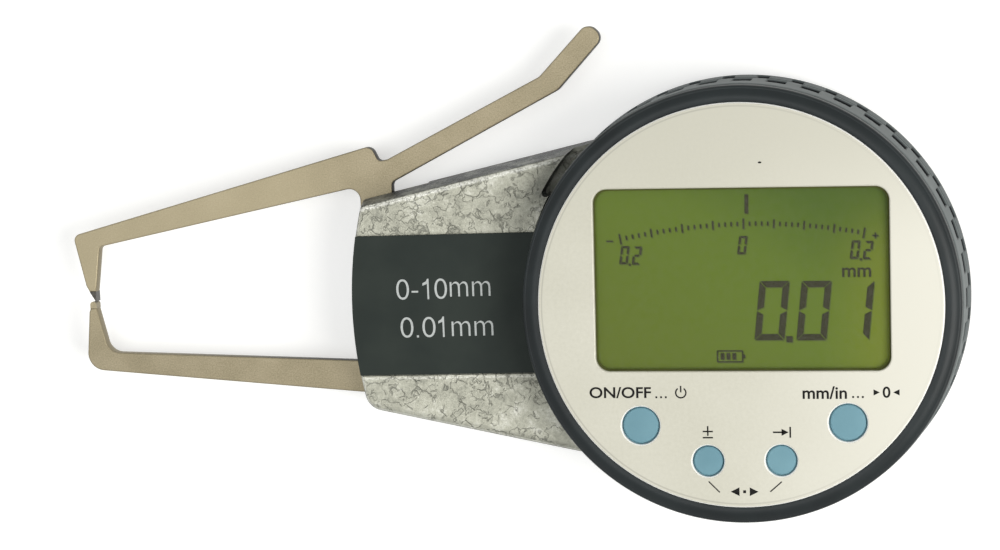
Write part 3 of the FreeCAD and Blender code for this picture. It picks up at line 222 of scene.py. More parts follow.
def hammered_enamel():
    """Hammertone enamel on die-cast metal: pale pooled cells, thin broken dark veins; painted shade on the
    sides and painted light and shade along the borders.
    """
    material, tree, shader, place = new_material("hammered_silver_enamel", roughness=0.4, metallic=0.3)
    x, y, _ = add_node(tree, "ShaderNodeSeparateXYZ", {"Vector": place}, output=None)
    veins = enamel_veins(tree, place)
    mottle = add_node(tree, "ShaderNodeTexNoise",
                      {"Vector": place, "Scale": features(0.5), "Detail": 5.0, "Roughness": 0.85})
    patches = add_node(tree, "ShaderNodeTexNoise",
                       {"Vector": place, "Scale": features(2.8), "Detail": 3.0, "Roughness": 0.6})
    both = add_node(tree, "ShaderNodeMath", {0: mottle, 1: patches}, operation="ADD")
    cloud = add_node(tree, "ShaderNodeMath", {0: both, 1: 0.5}, operation="MULTIPLY")
    front = add_node(tree, "ShaderNodeValToRGB", {"Fac": cloud},
                     stops=[(0.36, "838478"), (0.45, "A5A596"), (0.54, "B6B6A6"), (0.66, "D8D8CC")])
    vein_coat = add_node(tree, "ShaderNodeMath", {0: veins, 1: 0.6}, operation="MULTIPLY")
    front = coat(tree, front, "4F5149", vein_coat)
    # The drafted sides are painted dark grey, as painted shade where they turn away from the light
    side = add_node(tree, "ShaderNodeValToRGB", {"Fac": cloud},
                    stops=[(0.4, "2C2F31"), (0.5, "505352"), (0.6, "969890")])
    upward = surface_normal(tree)["Z"]
    facing = add_node(tree, "ShaderNodeMapRange", {"Value": upward, "From Min": 0.3, "From Max": 0.8},
                      interpolation_type="SMOOTHSTEP")
    tone = add_node(tree, "ShaderNodeMix", {"Factor": facing, 6: side, 7: front}, output=2, data_type="RGBA")
    # A painted highlight lies along the rounded edge between front and side, broken in places
    rim = add_node(tree, "ShaderNodeMapRange",
                   {"Value": away_from(tree, upward, 0.8), "From Min": 0.03, "From Max": 0.16, "To Min": 1.0,
                    "To Max": 0.0})
    patchy = add_node(tree, "ShaderNodeMapRange",
                      {"Value": mottle, "From Min": 0.4, "From Max": 0.55, "To Max": 0.8})
    tone = coat(tree, tone, "EDEDE4", rim, patchy)
    # Painted shade lies as a dark line along the label's upper edge, and a painted highlight as a bright line
    # along its lower one.
    # The body's upper border has a painted highlight too, and painted shade lies along its lower border.
    label_low, label_high = (corner[1] for corner in node_box("label_plate"))
    # Each line: slope, rise and half width in millimetres, thickness of the coat, colour
    borders = (
        (0.0, label_high + 0.2, 0.3, 0.55, "55574A"),
        (0.0, label_low - 0.45, 0.28, 0.75, "EDEDE4"),
        (body_slope, body_rise - 1.5, 0.4, 1.0, "F4F4EC"),
        (-body_slope, 1.45 - body_rise, 0.7, 0.6, "4A4C44"),
    )
    for slope, rise, half_width, thickness, code in borders:
        level = add_node(tree, "ShaderNodeMath", {0: x, 1: -slope, 2: y}, operation="MULTIPLY_ADD")
        gap = away_from(tree, level, rise * MM)
        tone = coat(tree, tone, code, (gap, 0.0, half_width * MM, thickness, 0.0), patchy)
    # Painted shade darkens the enamel above the label, next to the turning head
    beside_head = (axis_distance(tree, x, y), 32.0 * MM, 35.0 * MM, 0.55, 0.0)
    above_label = (y, 10.0 * MM, 17.0 * MM, 0.0, 1.0)
    tone = coat(tree, tone, "3A3D38", beside_head, above_label)
    groove = add_node(tree, "ShaderNodeMath", {0: veins, 1: -0.8}, operation="MULTIPLY")
    relief = add_node(tree, "ShaderNodeMath", {0: groove, 1: mottle}, operation="ADD")
    dress(tree, shader, tone, relief, 0.8, 0.2)
    return material


def satin_nickel():
    """Satin nickel plate on a stamped steel arm: warm grey, softly clouded, with a faint fine grain."""
    material, tree, shader, place = new_material("satin_nickel_plate", roughness=0.5, metallic=0.6)
    x, y, _ = add_node(tree, "ShaderNodeSeparateXYZ", {"Vector": place}, output=None)
    clouds = add_node(tree, "ShaderNodeTexNoise",
                      {"Vector": place, "Scale": features(6.0), "Detail": 3.0, "Roughness": 0.6})
    # Plating grain is a few microns wide, and is drawn at 0.2 mm so that it shows
    grain = add_node(tree, "ShaderNodeTexNoise",
                     {"Vector": place, "Scale": features(0.2), "Detail": 4.0, "Roughness": 0.8})
    blend = add_node(tree, "ShaderNodeMix", {0: 0.75, 2: clouds, 3: grain}, data_type="FLOAT")
    tone = add_node(tree, "ShaderNodeValToRGB", {"Fac": blend},
                    stops=[(0.36, "776F58"), (0.5, "8B8168"), (0.64, "9C927A")])
    # The moving arm's measuring end is painted lighter, as painted light where more light falls
    upper_arm = (y, -6.0 * MM, 4.0 * MM, 0.0, 1.0)
    outer_end = (x, -70.0 * MM, -50.0 * MM, 0.45, 0.0)
    tone = coat(tree, tone, "A69B7E", upper_arm, outer_end)
    # The stamped edges are painted darker as painted shade, nearly black by the body
    upright = add_node(tree, "ShaderNodeMath", {0: surface_normal(tree)["Z"]}, operation="ABSOLUTE")
    flat = add_node(tree, "ShaderNodeMapRange", {"Value": upright, "From Min": 0.35, "From Max": 0.75},
                    interpolation_type="SMOOTHSTEP")
    along = add_node(tree, "ShaderNodeMapRange", {"Value": x, "From Min": -92.0 * MM, "From Max": -62.0 * MM})
    edge = add_node(tree, "ShaderNodeValToRGB", {"Fac": along}, stops=[(0.0, "857B62"), (1.0, "2A2822")])
    tone = add_node(tree, "ShaderNodeMix", {"Factor": flat, 6: edge, 7: tone}, output=2, data_type="RGBA")
    dress(tree, shader, tone, grain, 0.12, 0.03)
    return material


def satin_plastic(name, dark, light, roughness=0.42, grain_mm=0.25, shine=0.15, pockets=None, crevice=None):
    """Moulded plastic with a fine spark-eroded grain; the tone drifts slightly over the piece.

    Pockets is (low, high, radius at low, radius at high): what lies deeper than that cone is painted dark, as
    shade in the pockets.
    Below the height crevice the piece is painted dark too, as shade in the crevice.
    """
    material, tree, shader, place = new_material(name, roughness)
    shader.inputs["Specular IOR Level"].default_value = shine
    drift = add_node(tree, "ShaderNodeTexNoise", {"Vector": place, "Scale": features(7.0), "Detail": 3.0})
    tone = add_node(tree, "ShaderNodeValToRGB", {"Fac": drift}, stops=[(0.35, dark), (0.65, light)])
    if pockets is not None:
        x, y, z = add_node(tree, "ShaderNodeSeparateXYZ", {"Vector": place}, output=None)
        low, high, radius_low, radius_high = (value * MM for value in pockets)
        cone = add_node(tree, "ShaderNodeMapRange",
                        {"Value": z, "From Min": low, "From Max": high, "To Min": radius_low,
                         "To Max": radius_high})
        depth = add_node(tree, "ShaderNodeMath", {0: cone, 1: axis_distance(tree, x, y)},
                         operation="SUBTRACT")
        # Painted shade: the pockets are painted near black
        painted_shade = add_node(tree, "ShaderNodeMapRange",
                        {"Value": depth, "From Min": 0.06 * MM, "From Max": 0.28 * MM})
        tone = coat(tree, tone, "0B0D10", painted_shade)
    if crevice is not None:
        z = add_node(tree, "ShaderNodeSeparateXYZ", {"Vector": place}, output="Z")
        # Painted shade: the crevice at the foot is painted near black
        painted_shade = add_node(tree, "ShaderNodeMapRange",
                        {"Value": z, "From Min": crevice * MM, "From Max": (crevice + 0.3) * MM,
                         "To Min": 1.0, "To Max": 0.0})
        tone = coat(tree, tone, "080909", painted_shade)
    # The grain of a spark-eroded mould is finer than this, and is drawn coarser so that it shows
    grain = add_node(tree, "ShaderNodeTexNoise",
                     {"Vector": place, "Scale": features(grain_mm), "Detail": 2.0, "Roughness": 0.6})
    dress(tree, shader, tone, grain, 0.12, 0.02)
    return material


def silver_paint():
    """Matt silver paint on aluminium sheet: warm pale grey with a soft fine sparkle."""
    material, tree, shader, place = new_material("matt_silver_paint", roughness=0.5, metallic=0.15)
    x, y, _ = add_node(tree, "ShaderNodeSeparateXYZ", {"Vector": place}, output=None)
    # Metal flakes are about 0.03 mm wide, and are drawn at 0.5 mm so that they show
    flakes = add_node(tree, "ShaderNodeTexNoise",
                      {"Vector": place, "Scale": features(0.5), "Detail": 4.0, "Roughness": 0.75})
    drift = add_node(tree, "ShaderNodeTexNoise", {"Vector": place, "Scale": features(20.0), "Detail": 2.0})
    both = add_node(tree, "ShaderNodeMath", {0: flakes, 1: drift}, operation="ADD")
    cloud = add_node(tree, "ShaderNodeMath", {0: both, 1: 0.5}, operation="MULTIPLY")
    tone = add_node(tree, "ShaderNodeValToRGB", {"Fac": cloud},
                    stops=[(0.3, "B9B7A7"), (0.5, "C1BFB0"), (0.7, "C9C7B9")])
    # The paint has a painted sheen toward the right, where the light falls, and painted shade near the top
    tone = coat(tree, tone, "D0CEC1", (x, -5.0 * MM, 27.0 * MM, 0.0, 1.0))
    tone = coat(tree, tone, "B5B3A4", (y, 5.0 * MM, 26.0 * MM, 0.0, 0.75))
    # The chamfered edges of the rim and of the key holes carry a painted highlight
    cut = add_node(tree, "ShaderNodeMapRange",
                   {"Value": surface_normal(tree)["Z"], "From Min": 0.8, "From Max": 0.97, "To Min": 1.0,
                    "To Max": 0.0})
    # Reach is the distance from the origin, so it takes in the face's height
    rim_reach = 33.2 * MM
    keys_top = -11.0 * MM
    reach = add_node(tree, "ShaderNodeVectorMath", {0: place}, output="Value", operation="LENGTH")
    rim = add_node(tree, "ShaderNodeMath", {0: reach, 1: rim_reach}, operation="GREATER_THAN")
    keys = add_node(tree, "ShaderNodeMath", {0: y, 1: keys_top}, operation="LESS_THAN")
    rim_or_keys = add_node(tree, "ShaderNodeMath", {0: rim, 1: keys}, operation="MAXIMUM")
    tone = coat(tree, tone, "F6F6F2", cut, rim_or_keys)
    # A fine dark line just inside the rim is painted shade beside a bead rolled into the sheet, painted
    # fainter toward the right where the light falls
    line_reach = math.hypot(face_radius - 0.5, face_high) * MM
    line = (away_from(tree, reach, line_reach), 0.03 * MM, 0.13 * MM, 0.45, 0.0)
    fade_in_light = add_node(tree, "ShaderNodeMapRange",
                    {"Value": x, "From Min": -5.0 * MM, "From Max": 20.0 * MM, "To Min": 1.0, "To Max": 0.15})
    tone = coat(tree, tone, "8C8A80", line, fade_in_light)
    dress(tree, shader, tone, flakes, 0.06, 0.02)
    return material


def printing_ink(name, code, roughness=0.55):
    """Screen-printed ink, slightly uneven in density."""
    material, tree, shader, place = new_material(name, roughness)
    shader.inputs["Specular IOR Level"].default_value = 0.05
    density = add_node(tree, "ShaderNodeTexNoise", {"Vector": place, "Scale": features(0.3), "Detail": 2.0})
    thin = add_node(tree, "ShaderNodeMapRange", {"Value": density, "From Min": 0.35, "From Max": 0.7})
    full = colour(code)
    paler = tuple(min(1.0, part * 1.18 + 0.01) for part in full[:3]) + (1.0,)
    tone = add_node(tree, "ShaderNodeMix", {"Factor": thin, 6: full, 7: paler}, output=2, data_type="RGBA")
    dress(tree, shader, tone)
    return material


def reflective_lcd():
    """Twisted-nematic glass over a green reflector: olive, greener to the upper right, fine mottling."""
    material, tree, shader, place = new_material("green_reflective_lcd", roughness=0.5)
    shader.inputs["Specular IOR Level"].default_value = 0.03
    x, y, _ = add_node(tree, "ShaderNodeSeparateXYZ", {"Vector": place}, output=None)
    low, high = node_box("lcd_panel")
    across = add_node(tree, "ShaderNodeMapRange",
                      {"Value": x, "From Min": low[0] * MM, "From Max": high[0] * MM})
    up = add_node(tree, "ShaderNodeMapRange",
                  {"Value": y, "From Min": low[1] * MM, "From Max": high[1] * MM})
    corner = add_node(tree, "ShaderNodeMath", {0: across, 1: up}, operation="ADD")
    mottle = add_node(tree, "ShaderNodeTexNoise", {"Vector": place, "Scale": features(1.6), "Detail": 3.0})
    uneven = add_node(tree, "ShaderNodeMath", {0: mottle, 1: 0.12, 2: corner}, operation="MULTIPLY_ADD")
    share = add_node(tree, "ShaderNodeMath", {0: uneven, 1: 0.5}, operation="MULTIPLY")
    tone = add_node(tree, "ShaderNodeValToRGB", {"Fac": share},
                    stops=[(0.0, "5B6821"), (0.5, "5B6E22"), (0.62, "596D22"), (0.82, "485E1D"),
                           (1.0, "465A1C")])
    # The LCD is painted lighter and yellower toward its right edge, below the upper corner
    tone = coat(tree, tone, "6F7A22", (across, 0.7, 1.0, 0.0, 0.8), (up, 0.55, 0.95, 1.0, 0.0))
    dress(tree, shader, tone)
    return material


def clear_window():
    """A clear coated acrylic pane: nearly invisible, with a thin gloss and a trace of dust."""
    material, tree, shader, place = new_material("clear_acrylic_window", roughness=0.06)
    shader.inputs["Base Color"].default_value = colour("F4F6F2")
    shader.inputs["IOR"].default_value = 1.49
    shader.inputs["Specular IOR Level"].default_value = 0.12
    dust = add_node(tree, "ShaderNodeTexNoise",
                    {"Vector": place, "Scale": features(0.8), "Detail": 4.0, "Roughness": 0.7})
    veil = add_node(tree, "ShaderNodeMapRange",
                    {"Value": dust, "From Min": 0.3, "From Max": 0.8, "To Min": 0.006, "To Max": 0.018})
    tree.links.new(veil, shader.inputs["Alpha"])
    return material


def bare_metal(name, dark, light, roughness):
    """Turned or ground metal; its grain is drawn at 0.3 mm so that it shows."""
    material, tree, shader, place = new_material(name, roughness, metallic=1.0)
    grain = add_node(tree, "ShaderNodeTexNoise",
                     {"Vector": place, "Scale": features(0.3), "Detail": 3.0, "Roughness": 0.6})
    tone = add_node(tree, "ShaderNodeValToRGB", {"Fac": grain}, stops=[(0.3, dark), (0.7, light)])
    dress(tree, shader, tone, grain, 0.1, 0.02)
    return material


# Every finish, by its slot or by the piece that wears it

MATERIALS = {
    "cast_metal": hammered_enamel(),
    "nickel": satin_nickel(),
    # Dark slate ABS, fine-grained and faintly shiny; the bezel's foot is painted dark as shade in its crevice
    "dark_plastic": satin_plastic("dark_slate_abs", "1F2526", "272D2E", roughness=0.4, shine=0.2),
    "bezel": satin_plastic("dark_slate_bezel", "1A1F20", "212728", roughness=0.4, shine=0.2,
                           crevice=face_high - 1.7),
    # The head's walls are matt and look paler where light falls on them; their pockets are painted dark as
    # shade
    "wall_plastic": satin_plastic("slate_abs_wall", "5B6262", "666D6D", roughness=0.55, shine=0.12),
    "grip_wall": satin_plastic("slate_abs_grip", "5F6666", "6A7070", roughness=0.55, shine=0.12,
                               pockets=(wall_low, wall_high, wall_foot_radius, wall_top_radius)),
    # The fixed ring's notches are painted dark as shade too
    "grip_ring": satin_plastic("slate_abs_ring", "4E5556", "5A6161", roughness=0.55,
                               pockets=(ring_belly_top, ring_high, ring_radius, ring_radius - 0.26)),
    # Screen-printed polycarbonate film, dark grey-green and almost matt
    "label": satin_plastic("dark_label_film", "2B312E", "313733", roughness=0.5, grain_mm=0.35, shine=0.08),
    "silver_face": silver_paint(),
    # Light blue moulded keys with a silky matt top
    "keys": satin_plastic("light_blue_key_plastic", "69909C", "7299A4", roughness=0.5, grain_mm=0.18),
    "lcd": reflective_lcd(),
    "clear": clear_window(),
    # Ground carbide is nearly black beside the plated arms; the lower tip is plain steel
    "hard_metal": bare_metal("ground_carbide", "34322E", "4C4A45", 0.35),
    "lower_tip": bare_metal("ground_steel_tip", "7A725E", "8D846D", 0.4),
    # Inside, freshly turned brass is warm and bright, and the springs and screws are cooler
    "brass": bare_metal("machined_brass", "B5914A", "CFAE66", 0.3),
    "steel": bare_metal("bright_steel", "A9A9A6", "C9C9C6", 0.28),
    # Inside pieces: slippery acetal, circuit board and the LCD's white frame
    "washer": satin_plastic("white_acetal", "D8D6CE", "E4E2DA", roughness=0.4),
    "board": satin_plastic("green_glass_epoxy", "1E5B34", "27693D", roughness=0.3),
    "frame_plastic": satin_plastic("white_abs", "DADAD6", "E6E6E2", roughness=0.45),
    # Soft pieces are dull: the window's foam gasket, whose dark olive is partly painted shade of the window's
    # recess, and the silicone plug
    "gasket": satin_plastic("olive_foam_gasket", "474B27", "50542C", roughness=0.8, shine=0.05),
    "rubber": satin_plastic("grey_silicone", "4A4C4D", "565859", roughness=0.7),
}
INK_DARK = printing_ink("dark_print_ink", "161614")
INK_WHITE = printing_ink("white_print_ink", "B4B8B6")
LCD_INK = printing_ink("lcd_segment_dark", "2A2A12", roughness=0.35)
LCD_SHADOW = printing_ink("lcd_segment_shadow", "4A581D", roughness=0.35)


# Meshes worked out as arrays

def turned(points, angle):
    """Points turned about the display's axis."""
    cos, sin = math.cos(angle), math.sin(angle)
    return points @ np.array([[cos, sin, 0], [-sin, cos, 0], [0, 0, 1]])


def make_piece(name, points_mm, faces, body, material, nodes=(), turn=False, smooth=35.0):
    """A mesh from an (n, 3) array in millimetres and a list of faces, riding on a body."""
    points = np.asarray(points_mm, float) * MM
    if turn:
        points = turned(points, DISPLAY_TURN)
    mesh = bpy.data.meshes.new(name)
    mesh.from_pydata(points, [], faces)
    mesh.update()
    return finish_piece(bpy.data.objects.new(name, mesh), body, material, nodes, smooth)


def finish_piece(piece, body, material, nodes=(), smooth=35.0):
    """Links a mesh piece, gives it its finish and says what it rides on and what it replaces."""
    bpy.context.scene.collection.objects.link(piece)
    piece.data.materials.clear()
    piece.data.materials.append(material)
    piece.data.polygons.foreach_set("use_smooth", [True] * len(piece.data.polygons))
    piece.data.set_sharp_from_angle(angle=math.radians(smooth))
    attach(piece, body)
    if nodes:
        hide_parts(*nodes)
    return piece


def grid_faces(rows, columns, rows_close=False, columns_close=True):
    """Quads of a grid whose point (i, j) has the index i * columns + j."""
    i = np.arange(rows if rows_close else rows - 1)
    j = np.arange(columns if columns_close else columns - 1)
    i, j = (a.ravel() for a in np.meshgrid(i, j, indexing="ij"))
    i_next, j_next = (i + 1) % rows, (j + 1) % columns
    corners = [i * columns + j, i * columns + j_next, i_next * columns + j_next, i_next * columns + j]
    return np.stack(corners, 1).tolist()


def lathe_points(profile, angles, radius_change=None):
    """Point (i, j) stands at radius r_i (+ change[i, j]) and height z_i, turned by angle j."""
    profile = np.asarray(profile, float)
    radius = profile[:, :1] + (0.0 if radius_change is None else radius_change)
    radius = np.broadcast_to(radius, (len(profile), len(angles)))
    height = np.broadcast_to(profile[:, 1:], radius.shape)
    return np.stack([radius * np.cos(angles), radius * np.sin(angles), height], -1).reshape(-1, 3)


def arc_points(centre, radius, start_deg, end_deg, steps):
    """Points of a circular arc, both ends included."""
    angles = np.radians(np.linspace(start_deg, end_deg, steps + 1))
    return np.stack([centre[0] + radius * np.cos(angles), centre[1] + radius * np.sin(angles)], 1)


def rounded_outline(corners, step_deg=7.0):
    """A closed outline from (x, y, radius) corners; each corner is a tangent arc."""
    no_reach = 1e-6
    runs = []
    count = len(corners)
    for k, (x, y, radius) in enumerate(corners):
        here = np.array([x, y])
        back = np.array(corners[k - 1][:2]) - here
        ahead = np.array(corners[(k + 1) % count][:2]) - here
        lengths = np.linalg.norm(back), np.linalg.norm(ahead)
        back, ahead = back / lengths[0], ahead / lengths[1]
        half = math.acos(np.clip(back @ ahead, -1, 1)) / 2
        reach = min(radius / math.tan(half), 0.45 * min(lengths))
        if reach < no_reach:
            runs.append(here[None])
            continue
        real = reach * math.tan(half)
        centre = here + (back + ahead) / np.linalg.norm(back + ahead) * real / math.sin(half)
        first, last = here + back * reach - centre, here + ahead * reach - centre
        start = math.atan2(first[1], first[0])
        sweep = (math.atan2(last[1], last[0]) - start + math.pi) % (2 * math.pi) - math.pi
        steps = max(2, int(abs(math.degrees(sweep)) / step_deg))
        runs.append(arc_points(centre, real, math.degrees(start), math.degrees(start + sweep), steps))
    return np.concatenate(runs)


def inset_outline(outline, distance):
    """Every point moved inwards (left of its travel) by a distance, mitred between its two edges."""
    ahead = np.roll(outline, -1, 0) - outline
    ahead /= np.linalg.norm(ahead, axis=1, keepdims=True)
    behind = np.roll(ahead, 1, 0)
    normal_ahead = np.stack([-ahead[:, 1], ahead[:, 0]], 1)
    normal_behind = np.stack([-behind[:, 1], behind[:, 0]], 1)
    mitre = normal_ahead + normal_behind
    mitre /= np.maximum(np.sum(mitre * normal_ahead, 1, keepdims=True), 0.3)
    return outline + mitre * distance


def counterclockwise(outline):
    """The outline, turned round where it runs clockwise."""
    x, y = outline.T
    area = np.sum(x * np.roll(y, -1) - np.roll(x, -1) * y)
    return outline if area > 0 else outline[::-1]


def edge_rows(low, high, edge, steps=3):
    """(inset, height) rows up a plate's side with a rounded edge at the bottom and the top."""
    turn = np.radians(np.linspace(0, 90, steps + 1))
    bottom = np.stack([edge * (1 - np.sin(turn)), low + edge * (1 - np.cos(turn))], 1)
    top = np.stack([edge * (1 - np.sin(turn[::-1])), high - edge * (1 - np.cos(turn[::-1]))], 1)
    return np.concatenate([bottom, top])


def plate(name, outline, low, high, edge, body, material, nodes=(), turn=False):
    """A plate: its outline carried up through inset rows, closed by one flat face at each end."""
    outline = counterclockwise(outline)
    rows = edge_rows(low, high, edge)
    layers = [np.column_stack([inset_outline(outline, inset), np.full(len(outline), height)])
              for inset, height in rows]
    count = len(outline)
    faces = grid_faces(len(rows), count)
    faces.append(list(range(count))[::-1])
    faces.append([(len(rows) - 1) * count + k for k in range(count)])
    piece = make_piece(name, np.concatenate(layers), faces, body, material, nodes, turn)
    for face in list(piece.data.polygons)[-2:]:
        face.use_smooth = False
    return piece


# Arms

# Corners as (x, y, radius)
MOVING_ARM = [
    (-95.85, 2.6, 0.0), (-96.3, 3.4, 0.6), (-97.95, 10.8, 1.0), (-53.2, 22.6, 1.2), (-52.15, 20.35, 1.3),
    (-50.9, 20.55, 1.2), (-28.5, 31.6, 1.5), (-21.4, 39.0, 1.5), (-19.2, 36.85, 1.5), (-25.9, 29.65, 2.0),
    (-50.3, 17.3, 0.8), (-50.3, 9.0, 3.0), (-43.5, 5.0, 3.0), (-34.9, 3.7, 1.2), (-34.4, -1.3, 1.2),
    (-42.0, -4.2, 2.0), (-47.5, -5.6, 4.0), (-51.6, -2.5, 3.0), (-53.8, 9.0, 2.0), (-55.0, 12.5, 1.0),
    (-55.0, 16.84, 1.7), (-94.05, 9.1, 0.7), (-94.7, 4.0, 0.0), (-94.9, 2.6, 0.0),
]
FIXED_ARM = [
    (-95.85, 0.15, 0.0), (-96.05, -0.4, 0.3), (-96.75, -8.72, 2.5), (-37.0, -14.55, 1.0), (-37.0, -9.1, 1.0),
    (-93.35, -6.33, 2.2), (-94.9, 0.15, 0.0),
]


def build_arms():
    """The two stamped arms, whose edges are tumbled round."""
    edge = 0.18
    arms = (("moving_arm", MOVING_ARM, "measuring_arm"), ("fixed_arm", FIXED_ARM, "housing"))
    for node, corners, body in arms:
        plate(node + "_plate", rounded_outline(corners), arm_low, arm_high, edge, body,
              MATERIALS["nickel"], [node])


# Head

def head_angles(count=720):
    """Even angles once round."""
    return np.linspace(0, 2 * math.pi, count, endpoint=False)


def build_bezel():
    """The bezel's section carried round: convex crown, rolled shoulder, outer wall, seat, inner wall.

    The crown is a parabola, highest at crest, a share of the way from its inner edge to its outer one.
    The shoulder is 70 degrees of an ellipse, a little taller than wide.
    """
    inner = face_radius + 0.05
    crown_top = face_high - 0.23
    crown_fall = 0.95
    crest = 0.3
    roll = 0.45
    roll_tall = 0.56
    roll_middle = face_high - 1.22
    crown = np.linspace(0, 1, 14)
    crown_r = inner + (head_radius - roll - inner) * crown
    crown_z = crown_top - crown_fall * (crown - crest) ** 2
    turn = np.radians(np.linspace(70, 0, 7))
    roll_r = head_radius - roll + roll * np.cos(turn)
    roll_z = roll_middle + roll_tall * np.sin(turn)
    outer = [(head_radius, bezel_low + 0.02), (head_radius - 0.1, bezel_low)]
    skirt = head_radius - 2.1
    ledge = inner - 0.7
    under = [(skirt, bezel_low), (skirt, face_low - 0.8), (ledge, face_low - 0.8), (ledge, face_low),
             (inner, face_low)]
    top = [np.stack([crown_r, crown_z], 1), np.stack([roll_r, roll_z], 1)]
    profile = np.concatenate([*top, outer, under])[::-1]
    angles = head_angles()
    faces = grid_faces(len(profile), len(angles), rows_close=True)
    make_piece("bezel_crown", lathe_points(profile, angles), faces, "display",
               MATERIALS["bezel"], ["bezel_ring"], turn=True)


def smooth_box(value, half, soft):
    """1 inside +-half, 0 outside, with a soft step between."""
    share = np.clip((half + soft / 2 - np.abs(value)) / soft, 0, 1)
    return share * share * (3 - 2 * share)


GRIP_PITCH_DEG = 9.0
PORT_DEG = -42.0


def pocket_pattern(angles, offset_deg, width, radius, soft=0.35):
    """How deep each column lies in its nearest pocket, 0 to 1."""
    degrees = np.degrees(angles) - offset_deg
    off = (degrees + GRIP_PITCH_DEG / 2) % GRIP_PITCH_DEG - GRIP_PITCH_DEG / 2
    return smooth_box(np.radians(off) * radius, width / 2, soft)


def near(angles, centre_deg, half_deg):
    """Where the angles lie within half_deg of the centre."""
    gap = (np.degrees(angles) - centre_deg + 180) % 360 - 180
    return np.abs(gap) < half_deg


def wall_radius(height):
    """The radius of the head's cone, which grows evenly with height from its foot to its top."""
    share = (height - wall_low) / (wall_high - wall_low)
    return wall_foot_radius + (wall_top_radius - wall_foot_radius) * share


def build_wall():
    """The turning wall: a cone with a row of rounded grip pockets, hollow, with a floor round its hub.

    A pocket's depth at a point is its full depth times two soft steps, one round the head and one up it.
    """
    angles = head_angles(1440)
    heights = np.concatenate([[wall_low], np.linspace(8.8, 13.2, 34), [14.5, 16.5, wall_high - 0.25]])
    pocket_depth = 0.6
    pocket_middle = 10.95
    pocket = pocket_pattern(angles, 0.0, 2.5, head_radius)
    # No pockets stand in front of the drawer and the data port
    pocket = np.where(near(angles, -90, 29) | near(angles, PORT_DEG, 13), 0.0, pocket)
    along = smooth_box(heights - pocket_middle, 1.95, 0.5)
    change = -pocket_depth * along[:, None] * pocket[None]
    outer = np.stack([wall_radius(heights), heights], 1)
    rim = [(head_radius + 0.02, wall_high)]
    inside, hub, floor_top = 27.7, 13.08, wall_low + 1.7
    inner = [(inside, wall_high), (inside, floor_top), (hub, floor_top), (hub, wall_low)]
    profile = np.concatenate([outer, rim, inner])
    all_change = np.concatenate([change, np.zeros((len(rim) + len(inner), len(angles)))])
    points = lathe_points(profile, angles, all_change)
    faces = grid_faces(len(profile), len(angles), rows_close=True)
    wall = make_piece("display_wall", points, faces, "display", MATERIALS["grip_wall"],
                      ["display_housing"], turn=True)
    cut_boxes(wall, [mouth_box("drawer"), mouth_box("port")])


def mouth_box(which):
    """Corners of the box that opens the wall for the drawer or for the data port's plug."""
    if which == "drawer":
        low, high, turn = (-11.25, -34.0, 10.9), (11.25, -21.0, 15.2), 0.0
    else:
        low, high, turn = (24.7, -4.5, 12.4), (34.0, 4.5, 15.6), math.radians(PORT_DEG)
    steps = np.array([[i, j, k] for i in (0, 1) for j in (0, 1) for k in (0, 1)])
    corners = np.where(steps, high, low).astype(float)
    return turned(corners, turn + DISPLAY_TURN)


def cut_boxes(piece, boxes):
    """Cuts boxes out of a piece with Boolean modifiers, applied at once."""
    faces = [(0, 1, 3, 2), (4, 6, 7, 5), (0, 4, 5, 1), (2, 3, 7, 6), (0, 2, 6, 4), (1, 5, 7, 3)]
    for corners in boxes:
        mesh = bpy.data.meshes.new("cutter")
        mesh.from_pydata(corners * MM, [], faces)
        mesh.update()
        cutter = bpy.data.objects.new("cutter", mesh)
        bpy.context.scene.collection.objects.link(cutter)
        modifier = piece.modifiers.new("mouth", "BOOLEAN")
        modifier.operation = "DIFFERENCE"
        modifier.solver = "EXACT"
        modifier.object = cutter
        bpy.context.view_layer.update()
        graph = bpy.context.evaluated_depsgraph_get()
        cut = bpy.data.meshes.new_from_object(piece.evaluated_get(graph), depsgraph=graph)
        piece.modifiers.clear()
        old = piece.data
        piece.data = cut
        bpy.data.meshes.remove(old)
        bpy.data.objects.remove(cutter)
        bpy.data.meshes.remove(mesh)


def build_base_ring():
    """The fixed ring: a bellied wall with short notches under its top edge, open round the body.

    The belly's radius follows a quarter of a sine wave up from the foot, and above it the wall leans in.
    """
    wedge_half_deg = ring_opening_deg()
    angles = np.radians(np.linspace(-180 + wedge_half_deg, 180 - wedge_half_deg, 1100))
    foot_radius = 30.5
    belly_height = 5.3
    foot_bevel, top_bevel = 0.15, 0.1
    heights = np.concatenate([[ring_low, ring_low + foot_bevel], np.linspace(1.0, 5.5, 8),
                              np.linspace(ring_belly_top, 7.9, 16), [ring_high]])
    rise = np.clip((heights - ring_low) / belly_height, 0, 1)
    belly = foot_radius + (ring_radius - foot_radius) * np.sin(rise * math.pi / 2)
    leaning = ring_radius - (heights - ring_belly_top) * ring_lean
    outer = np.where(heights <= ring_belly_top, belly, leaning)
    outer[0] -= foot_bevel
    outer[-1] -= top_bevel
    notch_depth = 0.5
    notch_middle = 7.2
    pattern = pocket_pattern(angles, 3.2, 1.5, head_radius)
    along = smooth_box(heights - notch_middle, 1.2, 0.4)
    change = -notch_depth * along[:, None] * pattern[None]
    seat, inside, ledge = 27.5, 28.7, ring_high - 1.0
    inner = [(seat, ring_high), (seat, ledge), (inside, ledge), (inside, ring_low)]
    profile = np.concatenate([np.stack([outer, heights], 1), inner])
    all_change = np.concatenate([change, np.zeros((len(inner), len(angles)))])
    points = lathe_points(profile, angles, all_change)
    faces = grid_faces(len(profile), len(angles), rows_close=True, columns_close=False)
    rows, columns = len(profile), len(angles)
    faces.append([i * columns for i in range(rows)])
    faces.append([i * columns + columns - 1 for i in range(rows)][::-1])
    make_piece("base_ring_wall", points, faces, "housing", MATERIALS["grip_ring"],
               ["base_ring"])


